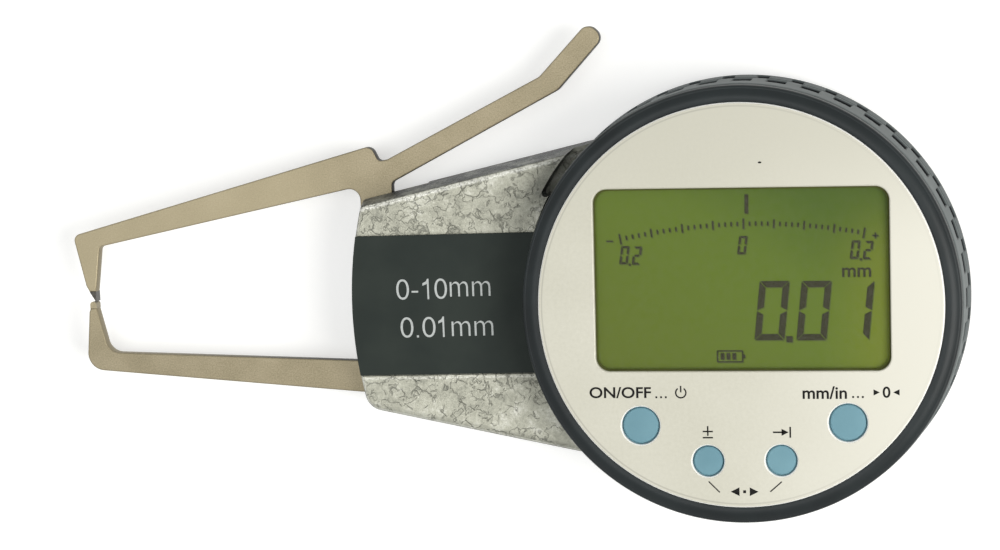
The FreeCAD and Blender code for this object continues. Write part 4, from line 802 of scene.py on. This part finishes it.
def ring_opening_deg():
    """Half the angle that the body's wedge takes out of the ring, with a small gap.

    The body's upper border, as y = rise + slope * x, meets the ring's circle where
    (1 + slope^2) x^2 + 2 slope rise x + rise^2 - radius^2 = 0, and the left root counts.
    """
    gap_deg = 0.4
    a = 1 + body_slope ** 2
    b = body_slope * body_rise
    c = body_rise ** 2 - ring_radius ** 2
    x = (-b - math.sqrt(b * b - a * c)) / a
    return math.degrees(math.atan2(body_rise + body_slope * x, -x)) + gap_deg


def flat_curve(name, rings, low, high, edge):
    """A sheet from closed rings (the first is the outline, the others are holes), with bevelled edges."""
    curve = bpy.data.curves.new(name, "CURVE")
    curve.dimensions = "2D"
    curve.fill_mode = "BOTH"
    curve.extrude = (high - low) / 2 * MM - edge * MM
    curve.bevel_depth = edge * MM
    curve.bevel_resolution = 2
    curve.offset = -edge * MM
    for ring in rings:
        spline = curve.splines.new("POLY")
        spline.points.add(len(ring) - 1)
        flat = np.column_stack([np.asarray(ring) * MM, np.zeros(len(ring)), np.ones(len(ring))])
        spline.points.foreach_set("co", flat.ravel())
        spline.use_cyclic_u = True
    mesh = mesh_of_curve(curve, name)
    mesh.transform(Matrix.Translation(Vector((0, 0, (low + high) / 2 * MM))))
    return mesh


def mesh_of_curve(curve, name):
    """A curve or text made a mesh, still where the curve was drawn."""
    carrier = bpy.data.objects.new(name + "_curve", curve)
    bpy.context.scene.collection.objects.link(carrier)
    bpy.context.view_layer.update()
    graph = bpy.context.evaluated_depsgraph_get()
    mesh = bpy.data.meshes.new_from_object(carrier.evaluated_get(graph), depsgraph=graph)
    bpy.data.objects.remove(carrier)
    mesh.name = name
    return mesh


def with_display(mesh):
    """A mesh turned as the display stands."""
    mesh.transform(Matrix.Rotation(DISPLAY_TURN, 4, "Z"))
    return mesh


def circle(x, y, radius, steps=96):
    """Points once round a circle, the first on its right."""
    return arc_points((x, y), radius, 0, 360 - 360 / steps, steps - 1)


# The window's edges, and each key's body, middle and radius, as they are on the unturned head
WINDOW = {"left": -19.8, "right": 20.4, "low": -8.9, "high": 16.1, "corner": 1.9}
KEYS = {
    "on_off_button": ("on_off_key", -13.8, -16.4, 2.45),
    "unit_button": ("unit_key", 14.5, -16.0, 2.45),
    "tolerance_button": ("tolerance_key", -4.6, -21.3, 2.0),
    "data_button": ("data_key", 5.4, -21.2, 2.0),
}
KEY_GAP = 0.18


def window_outline(border=0.0):
    """The window's opening, grown by a border."""
    left, right = WINDOW["left"] - border, WINDOW["right"] + border
    low, high = WINDOW["low"] - border, WINDOW["high"] + border
    return rounded_outline([(x, y, WINDOW["corner"]) for x, y in ((left, low), (right, low), (right, high),
                                                                  (left, high))])


def build_face():
    """The silver sheet with its window and four key holes, all with a small bevel."""
    holes = [circle(x, y, radius + KEY_GAP) for _, x, y, radius in KEYS.values()]
    rings = [circle(0, 0, face_radius, 360), window_outline()] + holes
    mesh = with_display(flat_curve("silver_front", rings, face_low, face_high, 0.2))
    finish_piece(bpy.data.objects.new("silver_front", mesh), "display",
                 MATERIALS["silver_face"], ["face_plate"])


def build_gasket():
    """A thin olive gasket between the window's edge and the LCD; its dark band is partly painted shade of the
    window's recess.
    """
    rings = [window_outline(0.3), window_outline(-0.22)]
    mesh = with_display(flat_curve("window_gasket", rings, face_low + 0.05, face_low + 0.25, 0.02))
    finish_piece(bpy.data.objects.new("window_gasket", mesh), "display", MATERIALS["gasket"])


def build_keys():
    """Each key: a slightly domed cap with a rounded rim over its hidden flange.

    The rim is a quarter circle, and the dome falls off with the square of the distance from its middle.
    """
    angles = head_angles(96)
    rim, dome = 0.22, 0.12
    flange, flange_top = 0.7, 0.7
    hole = 0.02
    turn = np.radians(np.linspace(0, 90, 6))
    share = np.linspace(1, hole, 10)[1:]
    for node, (body, x, y, radius) in KEYS.items():
        low, high = node_heights(node)
        rim_rows = np.stack([radius - rim + rim * np.cos(turn), high - dome - rim + rim * np.sin(turn)], 1)
        dome_rows = np.stack([(radius - rim) * share, high - dome * share ** 2], 1)
        skirt = radius + flange
        side = [(skirt, low), (skirt, low + flange_top - 0.02), (radius, low + flange_top)]
        profile = np.concatenate([[(hole, low)], side, rim_rows, dome_rows])
        points = lathe_points(profile, angles) + np.array([x, y, 0])
        faces = grid_faces(len(profile), len(angles))
        faces.append(list(range(len(angles)))[::-1])
        faces.append([(len(profile) - 1) * len(angles) + k for k in range(len(angles))])
        make_piece(node + "_cap", points, faces, body, MATERIALS["keys"], [node], turn=True)


def build_window():
    """The clear pane, held a little above the LCD so that the segments lie under it."""
    low, high = node_heights("lcd_window")
    border = 0.9
    left, right = WINDOW["left"] - border, WINDOW["right"] + border
    bottom, top = WINDOW["low"] - border, WINDOW["high"] + border
    # Its upper corners are cut where the face's own edge comes close
    reach = face_radius - 1.5
    side_left, side_right = (math.sqrt(reach ** 2 - x ** 2) for x in (left, right))
    end = math.sqrt(reach ** 2 - top ** 2)
    corners = [(left, bottom), (right, bottom), (right, side_right), (end, top), (-end, top),
               (left, side_left)]
    outline = rounded_outline([(x, y, 0.3) for x, y in corners])
    air = 0.15
    plate("window_pane", outline, low + air, high, 0.03, "display", MATERIALS["clear"],
          ["lcd_window"], turn=True)


# Printing

INK_PROUD = 0.012


def text_mesh(words, name, left, right, span, height, body, ink, turn, bold=0.0):
    """A line of lettering fitted between two x places and a span of y, a hair proud of what carries it."""
    curve = bpy.data.curves.new(name, "FONT")
    curve.body = words
    curve.size = 1.0
    curve.offset = bold
    curve.resolution_u = 6
    mesh = mesh_of_curve(curve, name)
    flat = np.empty(len(mesh.vertices) * 3)
    mesh.vertices.foreach_get("co", flat)
    flat = flat.reshape(-1, 3)
    share = (flat - flat.min(0))[:, :2] / (flat.max(0) - flat.min(0))[:2]
    flat[:, 0] = (left + (right - left) * share[:, 0]) * MM
    flat[:, 1] = (span[0] + (span[1] - span[0]) * share[:, 1]) * MM
    flat[:, 2] = height * MM
    mesh.vertices.foreach_set("co", flat.ravel())
    mesh.update()
    if turn:
        with_display(mesh)
    return finish_piece(bpy.data.objects.new(name, mesh), body, ink)


def strip_points(start, end, width):
    """The four corners of a straight stroke."""
    start, end = np.array(start, float), np.array(end, float)
    along = (end - start) / np.linalg.norm(end - start)
    side = np.array([-along[1], along[0]]) * width / 2
    return np.array([start - side, end - side, end + side, start + side])


def flat_polygons(name, polygons, height, body, ink, turn=True):
    """Many small flat polygons as one mesh at one height."""
    points = np.concatenate(polygons)
    points = np.column_stack([points, np.full(len(points), height)])
    faces = []
    start = 0
    for polygon in polygons:
        faces.append(list(range(start, start + len(polygon))))
        start += len(polygon)
    return make_piece(name, points, faces, body, ink, turn=turn)


def one_polygon(left, right, low, high, stroke):
    """The figure 1: an upright stem with a flag, as plain sans-serif numbers have."""
    tall = high - low
    return np.array([(right - stroke, low), (right, low), (right, high), (right - 0.8 * stroke, high),
                     (right - 1.5 * stroke, low + 0.88 * tall), (left, low + 0.78 * tall),
                     (left, low + 0.66 * tall), (right - stroke, low + 0.75 * tall)])


def triangle(x, y, half, direction):
    """A solid arrow head that points right where direction is 1, and left where it is -1."""
    back, tip = x - half * direction, x + half * direction
    return np.array([(back, y - half), (tip, y), (back, y + half)])


def dot_polygon(left, low, size):
    """A square dot from its lower left corner."""
    return np.array([(left, low), (left + size, low), (left + size, low + size), (left, low + size)], float)


def ring_polygons(x, y, radius, width, start_deg, end_deg, steps=24):
    """An open ring as quads."""
    outer = arc_points((x, y), radius, start_deg, end_deg, steps)
    inner = arc_points((x, y), radius - width, start_deg, end_deg, steps)
    return [np.array([inner[k], outer[k], outer[k + 1], inner[k + 1]]) for k in range(steps)]


# Rows of the label: the figures' lower and upper y, the letters' lower and upper y, each sign's two x
LABEL_ROWS = [
    ((1.0, 3.9), (1.3, 3.4), [("0", -49.2, -47.36), ("-", -47.0, -46.05), ("1", -45.4, -44.5),
                              ("0", -43.7, -41.9), ("mm", -41.5, -35.7)]),
    ((-4.4, -1.5), (-4.3, -2.2), [("0", -48.8, -46.95), (".", -46.5, -46.16), ("0", -45.65, -43.76),
                                  ("1", -43.35, -42.5), ("mm", -41.45, -35.5)]),
]


def build_label_print():
    """Range and resolution, as plain numbers on the label."""
    height = node_heights("label_plate")[1] + INK_PROUD
    stroke = 0.25
    dash_rise = 1.1
    plain = []
    for row, (figures, letters, signs) in enumerate(LABEL_ROWS):
        for k, (sign, left, right) in enumerate(signs):
            if sign == "1":
                plain.append(one_polygon(left, right, *figures, stroke))
            elif sign == "-":
                middle = figures[0] + dash_rise
                plain.append(strip_points((left, middle), (right, middle), stroke))
            elif sign == ".":
                plain.append(dot_polygon(left, figures[0], stroke + 0.05))
            else:
                span = letters if sign == "mm" else figures
                name = "label_sign_%d_%d" % (row, k)
                text_mesh(sign, name, left, right, span, height, "housing", INK_WHITE, False,
                          bold=-0.012)
    flat_polygons("label_strokes", [counterclockwise(shape) for shape in plain], height, "housing",
                  INK_WHITE, turn=False)


def build_face_print():
    """ON/OFF at its key, the two units at theirs, and plain signs at the others."""
    top = face_high + INK_PROUD
    stroke = 0.2
    line_low, line_high = -12.6, -11.05
    for words, name, left, right, span in (
        ("ON/OFF", "legend_on_off", -20.8, -12.3, (line_low, line_high)),
        ("mm/in", "legend_unit", 8.4, 14.4, (-12.75, -11.0)),
        ("0", "legend_zero", 19.2, 20.25, (line_low, line_high)),
    ):
        text_mesh(words, name, left, right, span, top, "display", INK_DARK, True, bold=0.018)
    # Three dots follow each word
    signs = [dot_polygon(x, line_low, 0.26) for x in (-11.7, -11.05, -10.4, 15.1, 15.75, 16.4)]
    # Standby: an open ring with a stem
    x, y = -8.2, -11.85
    signs += ring_polygons(x, y, 0.8, stroke, 125, 415)
    signs.append(strip_points((x, y + 0.05), (x, y + 0.95), stroke))
    # Zero set: arrow heads on both sides of the figure
    signs += [triangle(18.4, y, 0.42, 1.0), triangle(21.05, y, 0.42, -1.0)]
    # Plus-minus over the first small key
    x, y = -4.6, -17.2
    signs += [strip_points((x - 0.7, y), (x + 0.7, y), stroke),
              strip_points((x, y - 0.6), (x, y + 0.75), stroke),
              strip_points((x - 0.7, y - 0.85), (x + 0.7, y - 0.85), stroke)]
    # An arrow to a bar, for export, over the second
    x, y = 5.4, -17.3
    signs += [strip_points((x - 1.1, y), (x + 0.3, y), 0.22), triangle(x + 0.55, y, 0.48, 1.0),
              strip_points((x + 1.25, y - 0.75), (x + 1.25, y + 0.75), 0.22)]
    # Between two slanted lines, left and right arrow heads with a dot
    x, y = 0.3, -25.5
    signs += [triangle(x - 1.3, y, 0.6, -1.0), triangle(x + 1.3, y, 0.6, 1.0),
              dot_polygon(x - 0.2, y - 0.2, 0.4)]
    signs += [strip_points((-4.6, -24.1), (-3.1, -25.6), 0.17),
              strip_points((3.8, -25.5), (5.4, -24.1), 0.17)]
    flat_polygons("legend_signs", [counterclockwise(shape) for shape in signs], top, "display",
                  INK_DARK)
    # A dark speck in the paint, wider than tall
    speck = np.array([3.1, 19.5]) + circle(0.0, 0.0, 0.2, 9) * np.array([1.3, 0.7])
    flat_polygons("paint_speck", [speck], face_high + 0.01, "display", INK_DARK)


# LCD reading

SEGMENTS = {"0": "abcdef", "1": "bc", "2": "abged"}
# Figures and points by their lower left corners: the reading, then the numbers under the swing scale
READING = (("0", 1.91, -4.82), ("0", 7.61, -4.85), ("1", 13.35, -4.87))
READING_POINT = (6.25, -5.12)
SCALE_FIGURES = (("0", -0.27, 6.96), ("0", -16.45, 5.74), ("2", -14.73, 5.66), ("0", 14.97, 6.2),
                 ("2", 16.71, 6.12))
SCALE_POINTS = ((-15.15, 5.53), (16.31, 5.98))


def digit_polygons(symbol, left, low, width, height, stroke, slant, gap):
    """Seven-segment digit: each segment is a bar with mitred ends, sheared by the slant."""
    w, h, s = width, height, stroke
    mid, half = h / 2, s / 2
    bars = {
        "a": [(gap, h), (w - gap, h), (w - s - gap, h - s), (s + gap, h - s)],
        "d": [(gap, 0), (s + gap, s), (w - s - gap, s), (w - gap, 0)],
        "g": [(half + gap, mid), (s + gap, mid + half), (w - s - gap, mid + half), (w - half - gap, mid),
              (w - s - gap, mid - half), (s + gap, mid - half)],
        "f": [(0, h - gap), (s, h - s - gap), (s, mid + half + gap), (0, mid + gap)],
        "e": [(0, gap), (0, mid - gap), (s, mid - half - gap), (s, s + gap)],
        "b": [(w, h - gap), (w, mid + gap), (w - s, mid + half + gap), (w - s, h - s - gap)],
        "c": [(w, gap), (w - s, s + gap), (w - s, mid - half - gap), (w, mid - gap)],
    }
    shapes = []
    for letter in SEGMENTS[symbol]:
        shape = np.array(bars[letter], float)
        shape[:, 0] += shape[:, 1] * math.tan(math.radians(slant))
        shapes.append(shape + np.array([left, low]))
    return shapes


def lcd_shapes():
    """The reading, the swing scale with its numbers, and the battery sign, as polygons on the panel."""
    shapes = [dot_polygon(*READING_POINT, size=0.85)]
    shapes += [dot_polygon(*place, size=0.3) for place in SCALE_POINTS]
    for symbol, left, low in READING:
        shapes += digit_polygons(symbol, left, low, width=4.05, height=8.1, stroke=0.86, slant=6.0, gap=0.07)
    for symbol, left, low in SCALE_FIGURES:
        shapes += digit_polygons(symbol, left, low, width=1.15, height=2.5, stroke=0.3, slant=8.0, gap=0.04)
    return shapes + swing_scale() + battery_sign()


def battery_sign():
    """A battery: its case as four lines, its cap, and three bars of charge."""
    left, right, low, high = -3.19, 0.25, -7.76, -6.26
    line = 0.17
    shapes = [strip_points((left, low), (right, low), line), strip_points((left, high), (right, high), line),
              strip_points((left, low), (left, high), line), strip_points((right, low), (right, high), line),
              strip_points((right + 0.2, low + 0.5), (right + 0.2, high - 0.5), 0.3)]
    for x in (left + 0.7, left + 1.5, left + 2.3):
        shapes.append(strip_points((x, low + 0.3), (x, high - 0.3), 0.5))
    return shapes


def swing_scale():
    """Forty-one ticks along a shallow arc, a pointer just past zero, a minus and a plus.

    The ticks' middles lie on the parabola through the left, zero and right ones. They lean outwards
    from the middle; every fifth is longer, and the end and zero ticks are the longest.
    """
    count = 40
    zero_share = 0.49
    marks = np.array([(-16.24, 9.18), (0.34, 11.11), (16.95, 9.7)])
    share = np.linspace(0, 1, count + 1)
    weights = np.stack([(share - zero_share) * (share - 1) / zero_share,
                        share * (share - 1) / (zero_share * (zero_share - 1)),
                        share * (share - zero_share) / (1 - zero_share)], 1)
    shapes = []
    for k, (x, y) in enumerate(weights @ marks):
        half = 0.72 if k % 20 == 0 else 0.6 if k % 5 == 0 else 0.3
        lean = (share[k] - 0.5) * 0.35 * half
        shapes.append(strip_points((x - lean, y - half), (x + lean, y + half), 0.24))
    shapes.append(strip_points((1.1, 12.5), (1.14, 15.13), 0.5))
    # The minus at the left end, and the plus at the right one
    stroke = 0.2
    shapes.append(strip_points((-18.18, 8.92), (-17.23, 8.92), stroke))
    x, y, half = 18.46, 9.34, 0.42
    shapes += [strip_points((x - half, y), (x + half, y), stroke),
               strip_points((x, y - half), (x, y + half), stroke)]
    return shapes


def build_reading():
    """The dark segments, and the faint shadow that they cast on the reflector below."""
    segments_high = panel_top + 0.08
    shadow_high = panel_top + 0.02
    shadow_shift = np.array([0.12, -0.14])
    shapes = [counterclockwise(shape) for shape in lcd_shapes()]
    flat_polygons("lcd_reading", shapes, segments_high, "display", LCD_INK)
    shadows = [shape + shadow_shift for shape in shapes]
    flat_polygons("lcd_reading_shadow", shadows, shadow_high, "display", LCD_SHADOW)
    text_mesh("mm", "lcd_unit", 13.93, 17.83, (3.73, 5.02), segments_high, "display", LCD_INK, True,
              bold=0.012)


# CAD nodes that keep their own meshes

# Two sit in the pale wall, and the lower tip is paler than the upper one
OWN_FINISHES = {"battery_drawer": "wall_plastic", "data_port_plug": "wall_plastic",
                "lower_anvil": "lower_tip"}


def finish_cad_nodes():
    """Every CAD node gets its slot's procedural material, or its own."""
    for entry in frame["record"]["subparts"]:
        name = entry["node"]
        mesh = frame["nodes"][name].data
        mesh.materials.clear()
        mesh.materials.append(MATERIALS[OWN_FINISHES.get(name, entry["material_slot"])])
        mesh.polygons.foreach_set("material_index", [0] * len(mesh.polygons))


# Stage, light and camera

def seen_rays(tree):
    """1 for rays that show the background: from the camera, off gloss or through glass."""
    rays = add_node(tree, "ShaderNodeLightPath", {}, output=None)
    seen = rays["Is Camera Ray"]
    for kind in ("Is Glossy Ray", "Is Transmission Ray"):
        seen = add_node(tree, "ShaderNodeMath", {0: seen, 1: rays[kind]}, operation="MAXIMUM")
    return seen


def build_stage():
    """A pale floor whose colour goes to white for the camera, apart from the object's soft shadow."""
    # In metres; the floor lies a little below the object, so that their faces don't fight
    half = 3.0
    height = -0.05 * MM
    mesh = bpy.data.meshes.new("floor")
    corners = [(x, y, height) for x, y in ((-half, -half), (half, -half), (half, half), (-half, half))]
    mesh.from_pydata(corners, [], [(0, 1, 2, 3)])
    floor = bpy.data.objects.new("floor", mesh)
    bpy.context.scene.collection.objects.link(floor)
    material = bpy.data.materials.new("pale_floor")
    material.use_nodes = True
    tree = material.node_tree
    shader = tree.nodes["Principled BSDF"]
    shader.inputs["Base Color"].default_value = colour("D9D9D6")
    shader.inputs["Roughness"].default_value = 0.9
    shader.inputs["Emission Color"].default_value = (1, 1, 1, 1)
    lift = add_node(tree, "ShaderNodeMath", {0: seen_rays(tree), 1: 0.5}, operation="MULTIPLY")
    tree.links.new(lift, shader.inputs["Emission Strength"])
    floor.data.materials.append(material)


def area_light(name, place, target, size, power, tint):
    """A round softbox that faces its target; lengths are metres and power is watts."""
    light = bpy.data.lights.new(name, "AREA")
    light.shape = "DISK"
    light.size = size
    light.energy = power
    light.color = tint
    lamp = bpy.data.objects.new(name, light)
    lamp.location = place
    direction = Vector(target) - Vector(place)
    lamp.rotation_euler = direction.to_track_quat("-Z", "Y").to_euler()
    bpy.context.scene.collection.objects.link(lamp)


def build_lights():
    """A warm softbox low on the right, a cool one overhead, and a pale room."""
    middle = (-0.03, 0.0, 0.01)
    area_light("key_softbox", (0.32, -0.07, 0.42), middle, 0.35, 2.2, (1.0, 0.985, 0.96))
    area_light("fill_softbox", (-0.15, 0.02, 0.85), middle, 0.5, 1.8, (0.96, 0.98, 1.0))
    world = bpy.data.worlds.new("pale_room")
    bpy.context.scene.world = world
    world.use_nodes = True
    tree = world.node_tree
    background = tree.nodes["Background"]
    background.inputs["Color"].default_value = (1, 1, 1, 1)
    # The room lights the object at 0.38, and is plain white where it is seen
    strength = add_node(tree, "ShaderNodeMapRange", {"Value": seen_rays(tree), "To Min": 0.38, "To Max": 1.0})
    tree.links.new(strength, background.inputs["Strength"])


def build_camera():
    """The photograph's camera, fitted to the head's circle and the LCD's corners."""
    focal_px = 3053.0
    image_width_px = 1000.0
    camera = bpy.data.cameras.new("camera")
    camera.sensor_width = 36.0
    camera.lens = focal_px / image_width_px * camera.sensor_width
    camera.clip_start = 0.01
    camera.clip_end = 20.0
    holder = bpy.data.objects.new("camera", camera)
    roll, pitch, yaw = (math.radians(angle) for angle in (1.44, 5.48, -9.95))
    tilt = Matrix.Rotation(roll, 4, "Z") @ Matrix.Rotation(pitch, 4, "X") @ Matrix.Rotation(yaw, 4, "Y")
    # In millimetres, from the face's middle to the lens
    distance = 414.612
    right, up = 32.4819, -4.2273
    back = tilt.transposed()
    eye = back @ Vector((-right * MM, -up * MM, distance * MM))
    turn = Matrix.Rotation(DISPLAY_TURN, 4, "Z")
    rise = Matrix.Translation(Vector((0, 0, face_high * MM)))
    holder.matrix_world = rise @ turn @ Matrix.Translation(eye) @ back
    bpy.context.scene.collection.objects.link(holder)
    bpy.context.scene.camera = holder


finish_cad_nodes()
build_arms()
build_bezel()
build_wall()
build_base_ring()
build_face()
build_gasket()
build_keys()
build_window()
build_label_print()
build_face_print()
build_reading()
build_stage()
build_lights()
build_camera()
bpy.context.scene.view_settings.view_transform = "Standard"
